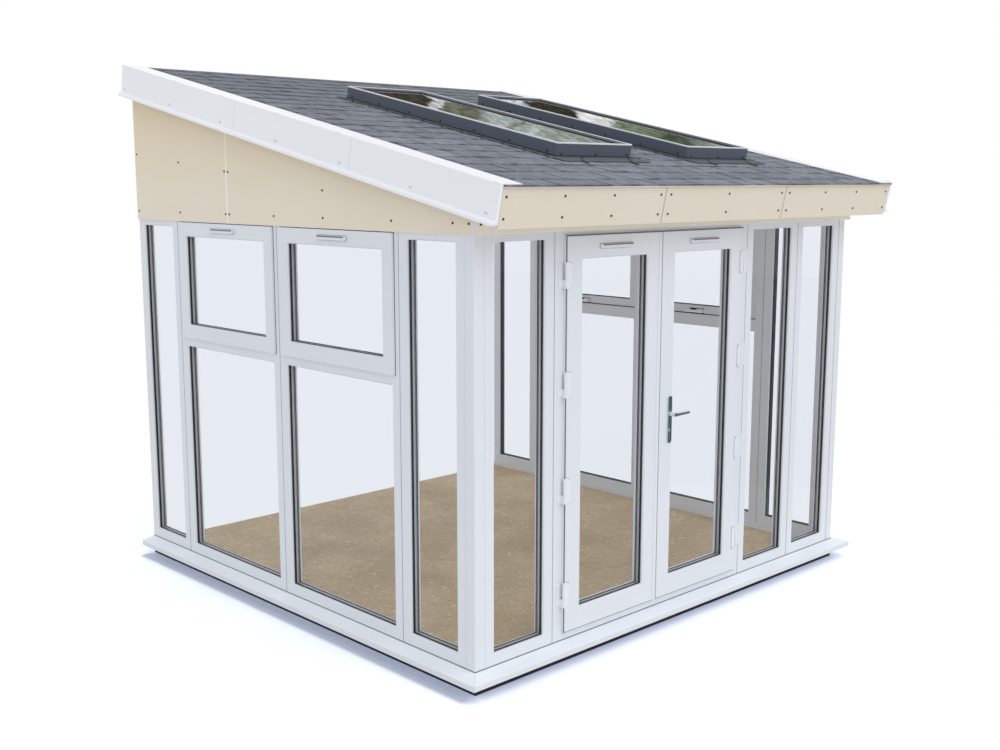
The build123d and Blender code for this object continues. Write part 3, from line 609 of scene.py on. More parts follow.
# Moulded nylon: an even, waxy mid grey, dark enough to stand for the shade line.
nylon_shade_pad = mottled("nylon_shade_pad", "#9a9ea5", "#8f9399", 0.03, 0.6)
for side, inwards, edge in (("left", 1, left_low.x), ("right", -1, right_high.x)):
    pads = []
    tip = edge + inwards * (FLAG + PAD_SHOW)
    for low, high in solid_boxes(f"{side}_leaf_hinges"):
        pad = block(
            (edge + inwards * FLAG_FIT, left_low.y, low.z - PAD_SHOW),
            (tip, left_low.y - FLAG_PAD, high.z + PAD_SHOW),
        )
        pick(pad, "EDGE", lambda line: all(
            abs(end.x - tip) + abs(end.z - ends(pad, line)[0].z) < 1e-5 for end in ends(pad, line)
        ))
        bpy.ops.mesh.bevel(offset=FLAG_CLIP, segments=3, affect="EDGES")
        pads.append(soften(shaped(pad), 0.0002))
    fit(f"{side}_hinge_shade_pads", pads, nylon_shade_pad, body=f"{side}_door")

# Bright chromium plate over polished die-cast zinc: it mirrors, with faint clouds of haze.
chromium_plate, add = new_material("chromium_plate")
spot = add("TexCoord").outputs["Object"]
haze = add("TexNoise", spot, Scale=40.0)
haze = add("MapRange", haze, To_Min=0.08, To_Max=0.2)
add("OutputMaterial", add("BsdfPrincipled", Base_Color="#cdd6db", Metallic=1.0, Roughness=haze))
dress(chromium_plate, "chrome", "lock_plates", "lever_handles")

# ---- ring beam, gables and boards
# A timber ring beam over the frames, lined white inside.  Outside it is clad in cement
# board, factory painted cream and fixed with dark screws; strips cover the board joints.
# Painted cement board: a fine eggshell coat over a dense flat board, slightly cloudy.
# The eaves boards are a copy a little cooler and darker, for the light on the front, and the
# head board under them a lighter copy against the shade of the eaves: painted shade and light.
# The gables yellow towards the top.
for name, pale, dark, height_tint, nodes in (
    (
        "cream_cement_board", "#f1e7d6", "#ede2cc", ("#eadabb", 2.35, 3.0),
        ("left_gable_boards", "right_gable_boards"),
    ),
    ("eaves_board_shaded_copy", "#e9dfcf", "#e4d9c5", None, ("eaves_fascia", "eaves_soffit")),
    ("head_board_lit_copy", "#fbf5ea", "#f6eddd", None, ("front_head_board",)),
):
    dress(mottled(name, pale, dark, 0.55, 0.7, (0.003, 0.0002), height_tint), "cream_board", *nodes)
# Skimmed plasterboard in white matt emulsion, rolled on: chalky, with a faint orange peel.
dress(
    mottled("white_emulsion", "#e9e8e4", "#e2e1dc", 0.4, 0.85, (0.012, 0.0003)),
    "plaster_lining",
    "left_gable_wall", "right_gable_wall", "front_header", "back_beam", "ceiling_lining",
)

WALL_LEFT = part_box("left_gable_wall")[0].x
WALL_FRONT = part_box("front_header")[0].y
BOARD_THICK = WALL_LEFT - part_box("left_gable_boards")[0].x
BOARD_LEFT = WALL_LEFT - BOARD_THICK
BOARD_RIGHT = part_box("right_gable_wall")[1].x + BOARD_THICK
BOARD_FRONT = WALL_FRONT - BOARD_THICK
BOARD_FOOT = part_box("front_head_board")[0].z
PITCH = radians(12)

# Bronzed steel screw: a shallow domed head with a sunk drive, almost black.
bronzed_steel = mottled("bronzed_steel", "#2b221d", "#1c1715", 0.01, 0.5)
HEAD_R = 0.006
HEAD_RISE = 0.0025
bpy.ops.object.select_all(action="DESELECT")
bpy.ops.mesh.primitive_cylinder_add(vertices=12, radius=HEAD_R, depth=HEAD_RISE)
screw = bpy.context.object
edit(screw)
bpy.ops.transform.translate(value=(0, 0, HEAD_RISE / 2))
pick(screw, "FACE", lambda face: face.normal.z > 0.9)
bpy.ops.mesh.inset(thickness=HEAD_R * 0.3)
bpy.ops.transform.translate(value=(0, 0, HEAD_RISE * 0.25))
bpy.ops.mesh.inset(thickness=HEAD_R * 0.35)
bpy.ops.transform.translate(value=(0, 0, -HEAD_RISE * 0.7))
shaped(screw)


def facing(place, direction):
    """A place whose Z axis looks along a direction."""
    turn = Vector(direction).to_track_quat("Z", "Y").to_matrix().to_4x4()
    return Matrix.Translation(place) @ turn


def screws(name, spots, turn=Matrix()):
    """A screw at each place and direction, in one piece."""
    heads = copies(screw, [facing(*spot) for spot in spots])
    fit(name, heads, bronzed_steel, turn=turn)


# Screws along the foot of each gable, and a row half way up to the roof.
SCREW_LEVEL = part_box("front_window_frames")[0].z + 2.154
FOOT_SCREWS = (0.021, 0.132, 0.584, 1.152, 1.610, 2.068, 2.108, 2.629, 3.150)
HALF_WAY_SCREWS = (1.152, 2.068, 2.108, 2.629, 3.150)
HALF_WAY_LIFT = 0.02
for (side, outwards), face in zip(SIDES, (BOARD_LEFT, BOARD_RIGHT)):
    rows = [(back, 0) for back in FOOT_SCREWS]
    rows += [(back, HALF_WAY_LIFT + back * tan(PITCH) / 2) for back in HALF_WAY_SCREWS]
    screws(f"{side}_gable_screws", [
        ((face, WALL_FRONT + back, SCREW_LEVEL + rise), (outwards, 0, 0)) for back, rise in rows
    ])
# The front head board has a screw close to its left end.
HEAD_SCREW = Vector((WALL_LEFT + 0.035, BOARD_FRONT, SCREW_LEVEL - 0.004))
screws("head_board_screws", [(HEAD_SCREW, (0, -1, 0))])

# Pale cover strips: over the gable board joints, the front board's joints and its corner.
# Foamed uPVC, extruded, set brighter and whiter than the frames for the stronger light high up:
# painted light.
upvc_painted_light = mottled("bright_upvc_cladding", "#f8fafd", "#f3f6fa", 0.8, 0.4)
# The narrow strips are solid uPVC: glossier, and pure white.
gloss_upvc = mottled("gloss_upvc", "#ffffff", "#fcfdfe", 0.8, 0.25)
STRIP_THICK = 0.0015
STRIP_EDGE = 0.0004
BEAD_EDGE = 0.0003
GABLE_STRIP = 0.008  # width
GABLE_STRIP_BACK = 2.088  # behind the front wall
FRONT_STRIP = 0.010
FRONT_STRIPS = (0.130, 1.625, 3.148)
CORNER_BEAD = 0.011
STRIP_SHORT = 0.004  # below the head board's top
strip_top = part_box("front_head_board")[1].z - STRIP_SHORT
gable_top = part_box("left_gable_boards")[1]
joint = WALL_FRONT + GABLE_STRIP_BACK
joint_top = gable_top.z + (joint - gable_top.y) * tan(PITCH)
for (side, outwards), face in zip(SIDES, (BOARD_LEFT, BOARD_RIGHT)):
    strip = block(
        (face, joint - GABLE_STRIP / 2, BOARD_FOOT),
        (face + outwards * STRIP_THICK, joint + GABLE_STRIP / 2, joint_top),
    )
    fit(f"{side}_gable_joint_strip", [soften(strip, STRIP_EDGE)], gloss_upvc)
strips = [soften(block(
    (WALL_LEFT + across - FRONT_STRIP / 2, BOARD_FRONT - STRIP_THICK, BOARD_FOOT),
    (WALL_LEFT + across + FRONT_STRIP / 2, BOARD_FRONT, strip_top),
), STRIP_EDGE) for across in FRONT_STRIPS]
fit("front_board_strips", strips, gloss_upvc)
bead_side = block(
    (BOARD_LEFT - STRIP_THICK, BOARD_FRONT - STRIP_THICK, BOARD_FOOT),
    (BOARD_LEFT, BOARD_FRONT + CORNER_BEAD, strip_top),
)
bead_front = block(
    (BOARD_LEFT, BOARD_FRONT - STRIP_THICK, BOARD_FOOT),
    (BOARD_LEFT + CORNER_BEAD / 2, BOARD_FRONT, strip_top),
)
fit("corner_bead", [soften(bead, BEAD_EDGE) for bead in (bead_side, bead_front)], white_upvc)

# ---- roof panels
# Insulated roof panels: two skins of strand board glued to a core of foam, under a black
# breather membrane.  Their edges show at the open house side.
BARGE_TOP = 0.004
ROOF_LENGTH = 3.478
barge_low, barge_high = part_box("left_barge_board")
EAVES_Y = barge_low.y + BARGE_TOP * sin(PITCH)
EAVES_Z = barge_high.z - ROOF_LENGTH * sin(PITCH) - BARGE_TOP * cos(PITCH)
ROOF = Matrix.Translation((0, EAVES_Y, EAVES_Z)) @ Matrix.Rotation(PITCH, 4, "X")
ROOF_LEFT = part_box("roof_tiles")[0].x
ROOF_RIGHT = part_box("roof_tiles")[1].x
MEMBRANE_DEPTH = 0.0125  # below the tiles' crown
SKIN_DEPTH = 0.024
CORE_DEPTH = 0.160
STRANDS = 60.0  # strands of board in a metre
roof_panel, add = new_material("insulated_roof_panel")
spot = add("TexCoord").outputs["Object"]
square_on = add(
    "Mapping", spot, Location=(0, EAVES_Y, EAVES_Z), Rotation=(PITCH, 0, 0), vector_type="TEXTURE"
)
depth = add("SeparateXYZ", square_on).outputs["Z"]
strands = add("TexVoronoi", square_on, Scale=STRANDS)
strand_tone = add("SeparateColor", strands.outputs["Color"])
strand_colour = add("Mix", strand_tone, "#c9ab7c", "#a98755")
upper_skin = add("Math", depth, -SKIN_DEPTH, operation="GREATER_THAN")
lower_skin = add("Math", depth, -CORE_DEPTH, operation="LESS_THAN")
skin = add("Math", upper_skin, lower_skin, operation="MAXIMUM")
core_or_skin = add("Mix", skin, "#e4dcc4", strand_colour)
membrane = add("Math", depth, -MEMBRANE_DEPTH, operation="GREATER_THAN")
panel_colour = add("Mix", membrane, core_or_skin, "#2a2c2f")
add("OutputMaterial", add("BsdfPrincipled", Base_Color=panel_colour, Roughness=0.8))
dress(roof_panel, "roof_core", "roof_panels")

# ---- roof tiles
# Moulded slate-grey tiles, laid from the eaves up in half bond.  Each rests on the head of
# the one below, so its lower edge stands a tile's thickness proud, and all are cut flush at
# the verges, at the top and round the rooflights.
TILE_WIDTH = 0.350
TILE_GAUGE = 0.171
FIRST_GAUGE = 0.142
TILE_OVER = 0.014  # first course over the fascia
TILE_GAP = 0.003
TILE_THICK = 0.0034
TILE_EDGE = 0.0012
TILE_FALL = 0.0036  # drop of a tile over one gauge
TILE_HEAD = 0.055  # tile under the next course
TILE_CROWN = 0.0004  # clear of the roof's top plane
TILE_SHIFT = 0.0018
TILE_TWIST = radians(0.25)

# Riven-look moulded tile: matt blue-grey, each a shade apart, with a shallow grain 36 mm
# wide.  Blotches a hand across are darker and hold the damp; the upper courses are darker.
RIVEN = 28.0  # ridges of grain in a metre
BLOTCHES = 11.0  # in a metre
slate_tile, add = new_material("moulded_slate_tile")
spot = add("TexCoord").outputs["Object"]
riven = add("TexNoise", spot, Scale=RIVEN, Detail=5.0, Roughness=0.6)
each_tile = add("NewGeometry").outputs["Random Per Island"]
colour = add("Mix", each_tile, "#999ca6", "#898c97")
height = add("SeparateXYZ", spot).outputs["Z"]
colour = stain_or_shade(add, colour, "#6c7076", height, 2.6, 3.1, 0.0, 0.5)
blotch = add("TexNoise", spot, Scale=BLOTCHES, Detail=3.0, Roughness=0.65)
blotch_share = add("MapRange", blotch, 0.38, 0.68, 0.0, 0.75)
colour = add("Mix", blotch_share, colour, "#646970")
colour = stain_or_shade(add, colour, "#565b63", riven, 0.35, 0.75, 0.0, 0.5)
# Painted shade: a dark line down each side of a tile for the shade in its joints and,
# unevenly, along its lower edge for the shadow of the course.
LINE_START = 0.010  # where the line begins, from the tile's side
LINE_FULL = 0.004
own = add("SeparateXYZ", add("UVMap")).outputs
off_middle = add("Math", own["X"], TILE_WIDTH / 2, operation="SUBTRACT")
off_middle = add("Math", off_middle, operation="ABSOLUTE")
joint_shade = add("MapRange", off_middle, TILE_WIDTH / 2 - LINE_START, TILE_WIDTH / 2 - LINE_FULL)
course_shadow = add("MapRange", own["Y"], 0.016, 0.002, To_Max=1.3)
course_shadow = add("Math", course_shadow, blotch_share, operation="MULTIPLY")
line = add("Math", joint_shade, course_shadow, operation="MAXIMUM", use_clamp=True)
painted_shade_share = add("Math", line, 0.75, operation="MULTIPLY")
colour = add("Mix", painted_shade_share, colour, "#2f3237")
bump = add("Bump", Height=riven, Distance=0.003, Strength=0.8)
add("OutputMaterial", add(
    "BsdfPrincipled", Base_Color=colour, Roughness=0.85, Specular_IOR_Level=0.2, Normal=bump
))

tile = block(
    (TILE_GAP / 2, 0, -TILE_THICK), (TILE_WIDTH - TILE_GAP / 2, TILE_GAUGE + TILE_HEAD, 0)
)
tile.name = "tile"
pick(tile, "EDGE", lambda edge: all(end.z > -1e-4 for end in ends(tile, edge)))
bpy.ops.mesh.bevel(offset=TILE_EDGE, segments=1, affect="EDGES")
shaped(tile)
# The tile's own map runs across it and up from its lower edge, in metres.
for corner in tile.data.loops:
    across, up, _ = tile.data.vertices[corner.vertex_index].co
    tile.data.uv_layers[0].data[corner.index].uv = (across, up)

course_count = int((ROOF_LENGTH - FIRST_GAUGE) / TILE_GAUGE) + 2
column_count = int((ROOF_RIGHT - ROOF_LEFT) / TILE_WIDTH) + 2
lean = Matrix.Rotation(-atan2(TILE_FALL, TILE_GAUGE), 4, "X")
shuffle = Random(4)
places = []
for course in range(course_count):
    low = -TILE_OVER if course == 0 else FIRST_GAUGE - TILE_OVER + (course - 1) * TILE_GAUGE
    for column in range(column_count):
        left = ROOF_LEFT + (column - 0.5 * (course % 2)) * TILE_WIDTH
        slip = Vector((shuffle.uniform(-1, 1), shuffle.uniform(-1, 1), 0)) * TILE_SHIFT
        twist = Matrix.Rotation(shuffle.uniform(-1, 1) * TILE_TWIST, 4, "Z")
        at = Vector((left, low, -TILE_CROWN)) + slip
        places.append(Matrix.Translation(at) @ lean @ twist)
tiles = join("slate_tiles", copies(tile, places))
bpy.data.objects.remove(tile)
verges = (
    ((ROOF_LEFT, 0, 0), (-1, 0, 0)), ((ROOF_RIGHT, 0, 0), (1, 0, 0)),
    ((0, ROOF_LENGTH, 0), (0, 1, 0)),
)
for place, direction in verges:
    edit(tiles)
    bpy.ops.mesh.bisect(plane_co=place, plane_no=direction, use_fill=True, clear_outer=True)
    bpy.ops.object.mode_set(mode="OBJECT")

KERB_WALL = 0.050
WELL_CUT = 0.05  # above and below the tiles
kerbs = solid_boxes("rooflight_kerbs", ROOF.inverted())
for low, high in kerbs:
    cutter = block(
        (low.x + KERB_WALL, low.y + KERB_WALL, -WELL_CUT),
        (high.x - KERB_WALL, high.y - KERB_WALL, WELL_CUT),
    )
    activate(tiles)
    cut = tiles.modifiers.new("well", "BOOLEAN")
    cut.object = cutter
    cut.operation = "DIFFERENCE"
    cut.solver = "EXACT"
    cut.use_self = False
    bpy.ops.object.modifier_apply(modifier=cut.name)
    bpy.data.objects.remove(cutter)
fit("slate_tiles", [tiles], slate_tile, turn=ROOF, replaces=["roof_tiles"])

# ---- eaves
# Cream fascia boards in three lengths, screwed twice at each rafter, under a pale drip
# strip that throws the rain clear of them.
FASCIA_ROWS = (-0.053, -0.152)
FASCIA_SCREWS = (-0.040, 0.335, 0.678, 1.029, 1.108, 1.600, 2.092, 2.169, 2.543, 2.886, 3.235)
down_slope = ROOF.to_3x3() @ Vector((0, -1, 0))
screws("fascia_screws", [
    (ROOF @ Vector((WALL_LEFT + across, 0, row)), down_slope)
    for across in FASCIA_SCREWS for row in FASCIA_ROWS
])

DRIP_SET = 0.001  # behind the tiles' lower edge
DRIP_LAP = 0.060
DRIP_SPAN = (-0.0125, -0.0056)  # under the first course
drip_foot, drip_top = DRIP_SPAN
drip = block((ROOF_LEFT, DRIP_SET - TILE_OVER, drip_foot), (ROOF_RIGHT, DRIP_LAP, drip_top))
# Thin PVC, rolled and left matt, in a warm pale grey that draws the thin bright line under the
# first course: painted light.
pale_pvc = mottled("pale_pvc_strip", "#d9d5cd", "#cfcbc3", 0.2, 0.6)
fit("eaves_drip_strip", [soften(drip, 0.0012)], pale_pvc, turn=ROOF)

# A line of mastic fills each butt joint of the fascia.
FASCIA_JOINTS = (1.066, 2.130)
MASTIC = 0.003  # its width
MASTIC_PROUD = 0.0006
MASTIC_SPAN = (-0.196, -0.0135)
lines = [soften(block(
    (WALL_LEFT + across - MASTIC / 2, -MASTIC_PROUD, MASTIC_SPAN[0]),
    (WALL_LEFT + across + MASTIC / 2, 0, MASTIC_SPAN[1]),
), 0.0002) for across in FASCIA_JOINTS]
# Gunned mastic: an earthy brown paste, wiped flat, that has skinned over matt.
fascia_mastic = mottled("fascia_mastic", "#7a6f5f", "#6c6254", 0.05, 0.7)
fit("fascia_joint_lines", lines, fascia_mastic, turn=ROOF)

# ---- barge boards
# White foamed uPVC verge boards in three lengths, with a strip lapped onto the tiles and a
# bead along the foot.  White plugs cover their screws, and clips hold the lapped strip.
dress(upvc_painted_light, "white_upvc", "left_barge_board", "right_barge_board")
# The plugs and joint covers are plain uPVC, a shade greyer than the boards.
greyer_upvc = mottled("greyer_upvc", "#d9dde3", "#cfd4db", 0.05, 0.5)
BARGE_LIP = 0.018  # bead along the foot, in front of the face
# Each set's half length, its foot and top, how far it stands out of the face at its two
# sides, and its softened edge.
PLUG = (0.011, (-0.144, -0.134), (0, 0.0016), 0.0006)
SEAM = (0.0013, (-0.155, -0.002), (0, 0.0003), 0.0001)
CLIP = (0.022, (0.0, 0.0085), (0.002, -0.030), 0.002)
PLUGS = (0.067, 0.594, 1.158, 1.735, 2.297, 2.868, 3.428)
BARGE_JOINTS = (1.080, 2.160)
CLIPS = (0.025, 1.188, 1.745, 2.302, 2.827)


def along_barge(places, face, outwards, shape):
    """Small blocks of one shape on a barge board's face, at places up the slope."""
    half, (foot, top), (here, there), edge = shape
    return [soften(block(
        (face + outwards * here, along - half, foot), (face + outwards * there, along + half, top)
    ), edge) for along in places]


for side, outwards in SIDES:
    low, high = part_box(f"{side}_barge_board")
    face = (low.x if outwards < 0 else high.x) - outwards * BARGE_LIP
    plugs = along_barge(PLUGS, face, outwards, PLUG)
    clips = along_barge(CLIPS, face, outwards, CLIP)
    seams = along_barge(BARGE_JOINTS, face, outwards, SEAM)
    fit(f"{side}_barge_clips", clips, upvc_painted_light, turn=ROOF)
    fit(f"{side}_barge_plugs", plugs + seams, greyer_upvc, turn=ROOF)

# ---- rooflights
# Powder-coated aluminium kerbs, screwed down through their sides, with a bright anodised
# cap on the rim, a sealed unit set down inside on black gaskets, and an apron over the tiles.
# Polyester powder baked on aluminium: an even, satin slate blue.
dress(
    mottled("slate_powder_coat", "#5a6270", "#525a69", 0.3, 0.45), "grey_kerb", "rooflight_kerbs"
)
# Milled lead, dressed down by hand: a dull grey patina over a skin that is a little uneven.
dress(
    mottled("lead_sheet", "#60656b", "#4f545a", 0.06, 0.9, (0.02, 0.0006)),
    "grey_sheet", "rooflight_skirts",
)

EDGE_BAR = 0.024  # width of the bar round a pane
RIM_GASKET = (0.012, 0.004)  # width and height
RIM_FIT = 0.0008
sheets, bars = [], []
for low, high in solid_boxes("rooflight_glass", ROOF.inverted()):
    for foot in (high.z - SHEET, low.z):
        sheets.append(soften(block(*slab(low, high, 2, foot, foot + SHEET)), SHEET_EDGE))
    bars.append(ring(*slab(low, high, 2, low.z + SHEET, high.z - SHEET), 2, EDGE_BAR))
    rim = slab(*shrunk(low, high, 2, RIM_FIT), 2, high.z, high.z + RIM_GASKET[1])
    bars.append(ring(*rim, 2, RIM_GASKET[0]))
# Solar-control glass: a dark body tint, and a coating that mirrors the sky at low angles.
solar_glass = clear_glass("solar_control_glass", (0.62, 0.64, 0.64, 1.0), 1.7, 1.2)
fit(
    "rooflight_glass_sheets", sheets, solar_glass, turn=ROOF,
    replaces=["rooflight_glass"],
)
fit("rooflight_spacer_bars", bars, butyl_sealant, turn=ROOF)

# The cap is a thin bright strip that covers the rim and turns down over its outer edge.
CAP = 0.0022
CAP_LIP = 0.005
CAP_WIDE = 0.010
CAP_PROUD = 0.0012
caps = []
for low, high in kerbs:
    rim = slab(low, high, 2, high.z - CAP_LIP, high.z + CAP)
    caps.append(soften(ring(*shrunk(*rim, 2, -CAP_PROUD), 2, CAP_WIDE), 0.0006))
# Anodised aluminium, etched first: a fine silvery white with no mirror in it.
anodised_trim = mottled("anodised_trim", "#fafbfd", "#f3f5f8", 0.2, 0.35)
fit("rooflight_rim_caps", caps, anodised_trim, turn=ROOF)

# A bead of black sealant runs round the foot of each kerb, on the apron.
FOOT_BEAD = 0.004
FOOT_SPAN = (0.0026, 0.0100)  # above the roof's plane
feet = []
for low, high in kerbs:
    foot = shrunk(*slab(low, high, 2, *FOOT_SPAN), 2, -FOOT_BEAD)
    feet.append(soften(ring(*foot, 2, FOOT_BEAD + 0.001), 0.001))
fit("kerb_foot_seals", feet, gasket_rubber, turn=ROOF)

# Self-drilling screws stand in a row low on each kerb's four faces.
SIDE_SCREWS = (0.065, 0.357, 0.649, 0.941, 1.233, 1.525, 1.800)
END_SCREWS = (0.047, 0.314, 0.575)
SIDE_LIFT = 0.021
END_LIFT = 0.016
spots = []
for low, high in kerbs:
    for across in END_SCREWS:
        spots.append(((low.x + across, low.y, END_LIFT), (0, -1, 0)))
        spots.append(((low.x + across, high.y, END_LIFT), (0, 1, 0)))
    for along in SIDE_SCREWS:
        spots.append(((low.x, low.y + along, SIDE_LIFT), (-1, 0, 0)))
        spots.append(((high.x, low.y + along, SIDE_LIFT), (1, 0, 0)))
screws("kerb_screws", spots, ROOF)
bpy.data.objects.remove(screw)

# Black straps hold the apron down: a broad and a narrow one from the front of each kerb,
# and a short one per course down its sides.
STRAP_THICK = 0.0035
STRAP_LIFT = 0.0015
STRAP_TURN = radians(50)
STRAP_GAP = 0.004  # clear of the kerb's side
STRAP_FRONT = 0.012  # clear of its front
BROAD_STRAP = (0.140, 0.185, 0.026)  # across, down the slope, width
NARROW_STRAP = (0.215, 0.070, 0.180, 0.008)  # start and end across, down the slope, width
SIDE_STRAPS = 11
SIDE_FIRST = 0.055  # behind the kerb's front
SIDE_REACH = (0.070, 0.075)  # out, and down the slope
SIDE_WIDE = 0.006


def strap(start, end, width):
    """A flat curved strap between two places on the roof: its end section is spun round."""
    chord = Vector(end) - Vector(start)
    reach = chord.length / (2 * sin(STRAP_TURN / 2))
    across = Vector((-chord.y, chord.x)).normalized()
    middle = (Vector(start) + Vector(end)) / 2 + across * reach * cos(STRAP_TURN / 2)
    spoke = Vector(start) - middle
    bpy.ops.object.select_all(action="DESELECT")
    bpy.ops.mesh.primitive_plane_add(
        size=1, location=(*start, STRAP_LIFT + STRAP_THICK / 2),
        rotation=(radians(90), 0, atan2(spoke.y, spoke.x)),
    )
    piece = bpy.context.object
    piece.scale = (width, STRAP_THICK, 1)
    bpy.ops.object.transform_apply(location=True, rotation=True, scale=True)
    edit(piece)
    bpy.ops.mesh.spin(steps=7, angle=-STRAP_TURN, center=(*middle, 0), axis=(0, 0, 1))
    bpy.ops.mesh.select_all(action="SELECT")
    bpy.ops.mesh.remove_doubles(threshold=1e-6)
    bpy.ops.mesh.select_all(action="DESELECT")
    bpy.ops.mesh.select_mode(type="EDGE")
    bpy.ops.mesh.select_non_manifold(extend=False)
    bpy.ops.mesh.edge_face_add()
    return shaped(piece)


straps = []
for low, high in kerbs:
    front = low.y - STRAP_FRONT
    across, down, width = BROAD_STRAP
    straps.append(strap((high.x + STRAP_GAP, front), (high.x - across, low.y - down), width))
    start, end, down, width = NARROW_STRAP
    straps.append(strap((low.x + start, front), (low.x + end, low.y - down), width))
    for number in range(SIDE_STRAPS):
        along = low.y + SIDE_FIRST + number * TILE_GAUGE
        for edge, way in ((low.x, -1), (high.x, 1)):
            tip = (edge + way * SIDE_REACH[0], along - SIDE_REACH[1])
            straps.append(strap((edge + way * STRAP_GAP, along), tip, SIDE_WIDE))
# EPDM strap: a dense black rubber, moulded smooth, that has dulled in the sun.
strap_rubber = mottled("strap_rubber", "#2b2d31", "#222427", 0.05, 0.6)
fit("apron_straps", straps, strap_rubber, turn=ROOF)

# ---- stage, light and camera
# A white studio floor and backdrop, a broad soft key over the front, and the viewpoint.
# Windows tint the white behind them, by the count of glass faces that a ray has passed.
SEEN_THROUGH_GLASS = (0.842, 0.872, 0.912, 1.0)
SEEN_THROUGH_TWO = (0.90, 0.915, 0.94, 1.0)
ONE_WINDOW = 0.5  # counts of glass faces passed, from which each holds
TWO_WINDOWS = 4.5
WHITE = (1, 1, 1, 1)


def studio_rays(add):
    """What a ray is: its outputs, if it is behind glass, the white it sees, if it looks."""
    rays = add("LightPath").outputs
    faces = rays["Transparent Depth"]
    behind_glass = add("Math", faces, ONE_WINDOW, operation="GREATER_THAN")
    behind_two = add("Math", faces, TWO_WINDOWS, operation="GREATER_THAN")
    tint = add("Mix", behind_two, SEEN_THROUGH_GLASS, SEEN_THROUGH_TWO)
    white = add("Mix", behind_glass, WHITE, tint)
    looks = add("Math", rays["Is Camera Ray"], rays["Is Glossy Ray"], operation="MAXIMUM")
    return rays, behind_glass, white, looks


bpy.ops.mesh.primitive_circle_add(
    vertices=96, radius=14, fill_type="NGON", location=(0, 0, -0.0005)
)
studio_floor = bpy.context.object
studio_floor.name = "studio_floor"

# White studio paper: matt, lifted a little where it is lit, and lost in the backdrop far
# out.  Painted shadow: it darkens close to the base by an occlusion test, most on the left,
# and in a band under the left sill.
CONTACT_REACH = 0.09
OPEN_FLOOR = (0.30, 0.97)  # share of open sky from full shade to none
LEE_SIDE = (-1.60, -1.75)
BAND_ACROSS = (-1.722, -1.690)
BAND_ENDS = ((-1.645, -1.585), (1.600, 1.580))
FLOOR_LIFT = 0.38
FADE_OUT = (3.0, 6.5)  # from the middle, to the plain backdrop
studio_white, add = new_material("studio_white")
_, behind_glass, floor_tint, looks = studio_rays(add)
nearness = add("AmbientOcclusion", Distance=CONTACT_REACH).outputs["AO"]
spot = add("TexCoord").outputs["Object"]
place = add("SeparateXYZ", spot).outputs
lee_side = add("MapRange", place["X"], *LEE_SIDE)
deepest = add("Mix", lee_side, (0.66, 0.68, 0.80, 1.0), (0.34, 0.38, 0.45, 1.0))
contact_shadow_tint = stain_or_shade(add, deepest, WHITE, nearness, *OPEN_FLOOR)
sill_shadow_mask = add("MapRange", place["X"], *BAND_ACROSS)
for near, far in BAND_ENDS:
    along = add("MapRange", place["Y"], near, far)
    sill_shadow_mask = add("Math", sill_shadow_mask, along, operation="MULTIPLY")
sill_shadow_mask = add("Math", sill_shadow_mask, lee_side, operation="MULTIPLY")
sill_shadow_tint = add("Mix", sill_shadow_mask, contact_shadow_tint, (0.20, 0.235, 0.30, 1.0))
floor_paint = add("Mix", 1.0, sill_shadow_tint, floor_tint, blend_type="MULTIPLY")
floor_diffuse = add("BsdfDiffuse", floor_paint)
shade_tint = add("Mix", 1.0, floor_paint, (0.62, 0.74, 1.0, 1.0), blend_type="MULTIPLY")
floor_lift = add("Emission", shade_tint, FLOOR_LIFT)
floor_near = add("AddShader", floor_diffuse, floor_lift)
far_out = add("VectorMath", spot, operation="LENGTH")
fade = add("MapRange", far_out, *FADE_OUT, interpolation_type="SMOOTHSTEP")
fade = add("Math", fade, behind_glass, operation="MAXIMUM")
floor_seen = add("MixShader", fade, floor_near, add("Emission", floor_tint))
plain_floor = add("BsdfDiffuse", (0.8, 0.8, 0.8, 1))
add("OutputMaterial", add("MixShader", looks, plain_floor, floor_seen))
studio_floor.data.materials.append(studio_white)


# Two cards that only mirrors see: a dark one low in front of the doors, for the chrome, and
# a banded one beyond the roof, for the rooflights: brown, white, olive and pale grey.
def card(name, middle, facing_way, wide, tall):
    """A standing card, seen by mirror rays alone."""
    turn = Vector(facing_way).to_track_quat("Z", "Y")
    bpy.ops.mesh.primitive_plane_add(size=1, location=middle, rotation=turn.to_euler())
    piece = bpy.context.object
    piece.name = name
    piece.scale = (wide, tall, 1)
    for kind in ("camera", "diffuse", "transmission", "volume_scatter", "shadow"):
        setattr(piece, "visible_" + kind, False)
    return piece


flag = card("dark_flag", (2.45, -3.45, 0.75), (-0.80, 0.60, 0.0), 3.2, 1.9)
flag_paint, add = new_material("flag_paint")
add("OutputMaterial", add("Emission", (0.11, 0.15, 0.175, 1)))
flag.data.materials.append(flag_paint)

CARD_AWAY = 7.0
CARD_ASIDE = 0.8
CARD_UP = 4.6
CARD_WIDE = 6.4
CARD_TALL = 1.8
ROW_EDGE = -0.01  # between the two rows, in heights of the card
card_way = Vector((0.70, 0.714, 0.0)).normalized()
card_side = Vector((card_way.y, -card_way.x, 0.0))
middle = card_way * CARD_AWAY + card_side * CARD_ASIDE + Vector((0, 0, CARD_UP))
banded = card("banded_card", middle, -card_way, CARD_WIDE, CARD_TALL)
band_paint, add = new_material("band_paint")
spot = add("TexCoord").outputs["Object"]
own = add("SeparateXYZ", spot).outputs
sway = add("TexNoise", spot, Scale=22.0, Detail=3.0)
sway = add("MapRange", sway, To_Min=-0.045, To_Max=0.045)
along = add("Math", own["X"], sway, operation="ADD")
along = add("Math", along, 0.5, operation="ADD")
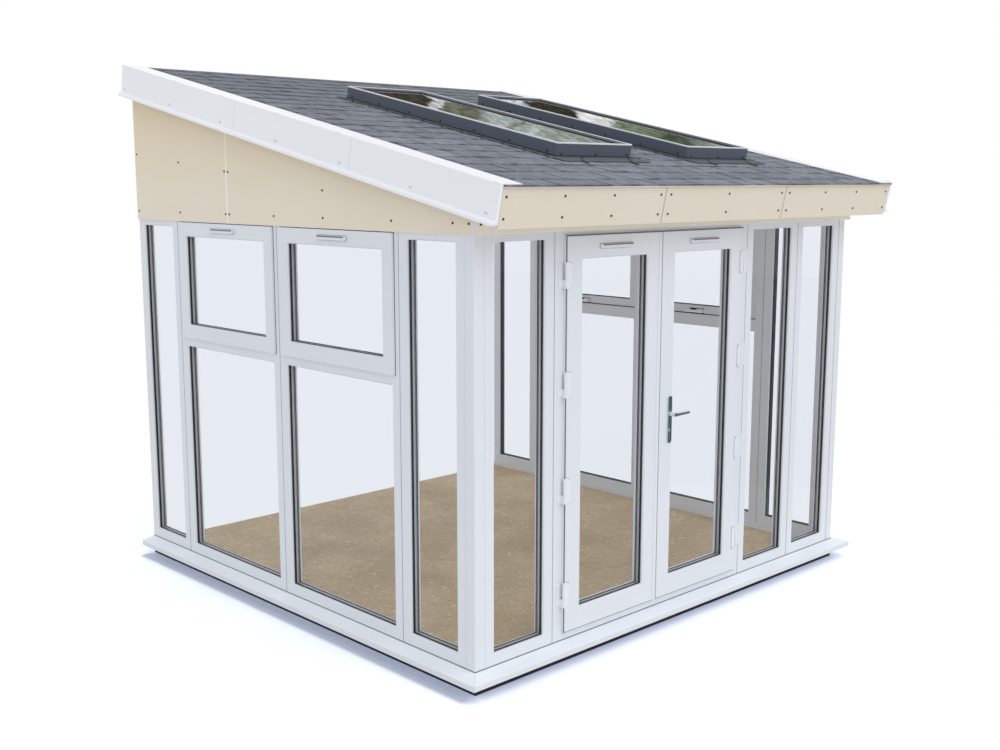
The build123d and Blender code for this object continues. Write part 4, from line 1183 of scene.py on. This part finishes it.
# Where each row's colours stand along the card, in metres.
BANDS_HIGH = (
    (-1.6, "#4a4339"), (-0.72, "#4f4b41"), (-0.64, "#e2e6e8"), (-0.52, "#e2e6e8"),
    (-0.45, "#7d8170"), (-0.05, "#747a66"), (0.15, "#d0dad6"), (0.32, "#c2ccc6"),
    (0.42, "#8f9693"), (0.6, "#cbd4cf"), (0.85, "#b4bdb4"), (1.7, "#a9b2a9"),
)
BANDS_LOW = (
    (0.1, "#e8edf0"), (0.42, "#d8dee2"), (0.50, "#453f35"), (1.05, "#3d3a30"),
    (1.14, "#ffffff"), (1.52, "#ffffff"), (1.62, "#7f8a70"), (2.05, "#8a967c"),
    (2.2, "#596052"), (2.5, "#667060"), (2.75, "#a9b3a9"), (3.2, "#b4beb4"),
)
rows = []
for stops in (BANDS_LOW, BANDS_HIGH):
    ramp = add("ValToRGB", along)
    elements = ramp.color_ramp.elements
    elements.remove(elements[-1])
    elements[0].position = 0.0
    elements[0].color = linear(stops[0][1])
    for way, colour in stops:
        elements.new((way - CARD_ASIDE + CARD_WIDE / 2) / CARD_WIDE).color = linear(colour)
    rows.append(ramp)
upper = add("Math", own["Y"], ROW_EDGE, operation="GREATER_THAN")
band_colour = add("Mix", upper, *rows)
streaks = add("TexNoise", spot, Scale=34.0, Detail=4.0, Distortion=1.5)
streaks = add("MapRange", streaks, 0.42, 0.60, 0.72, 1.22)
add("OutputMaterial", add("Emission", band_colour, streaks))
banded.data.materials.append(band_paint)

# The backdrop is white to the eye, and a softer grey as a source of light.
AMBIENT = (0.735, 0.75, 0.77, 1.0)
world = bpy.data.worlds.new("studio")
bpy.context.scene.world = world
world.use_nodes = True
world.node_tree.nodes.clear()
add = partial(add_node, world.node_tree)
rays, _, backdrop, looks = studio_rays(add)
looks = add("Math", looks, rays["Is Transmission Ray"], operation="MAXIMUM")
sky = add("Mix", looks, AMBIENT, backdrop)
add("OutputWorld", add("Background", sky))

key = bpy.data.lights.new("key", "SUN")
key.energy = 0.9
key.angle = radians(70)
key_lamp = bpy.data.objects.new("key", key)
key_lamp.rotation_euler = Vector((-0.05, -0.75, 0.85)).to_track_quat("Z", "Y").to_euler()
bpy.context.collection.objects.link(key_lamp)

camera = bpy.data.cameras.new("camera")
camera.lens = 43.48
camera.sensor_width = 36
view = bpy.data.objects.new("camera", camera)
view.location = (-5.3389, -5.6601, 2.4737)
view.rotation_euler = Euler((radians(90 - 9.226), 0, radians(-43.776)))
bpy.context.collection.objects.link(view)
scene = bpy.context.scene
scene.camera = view
scene.view_settings.view_transform = "Standard"
scene.cycles.transparent_max_bounces = 32
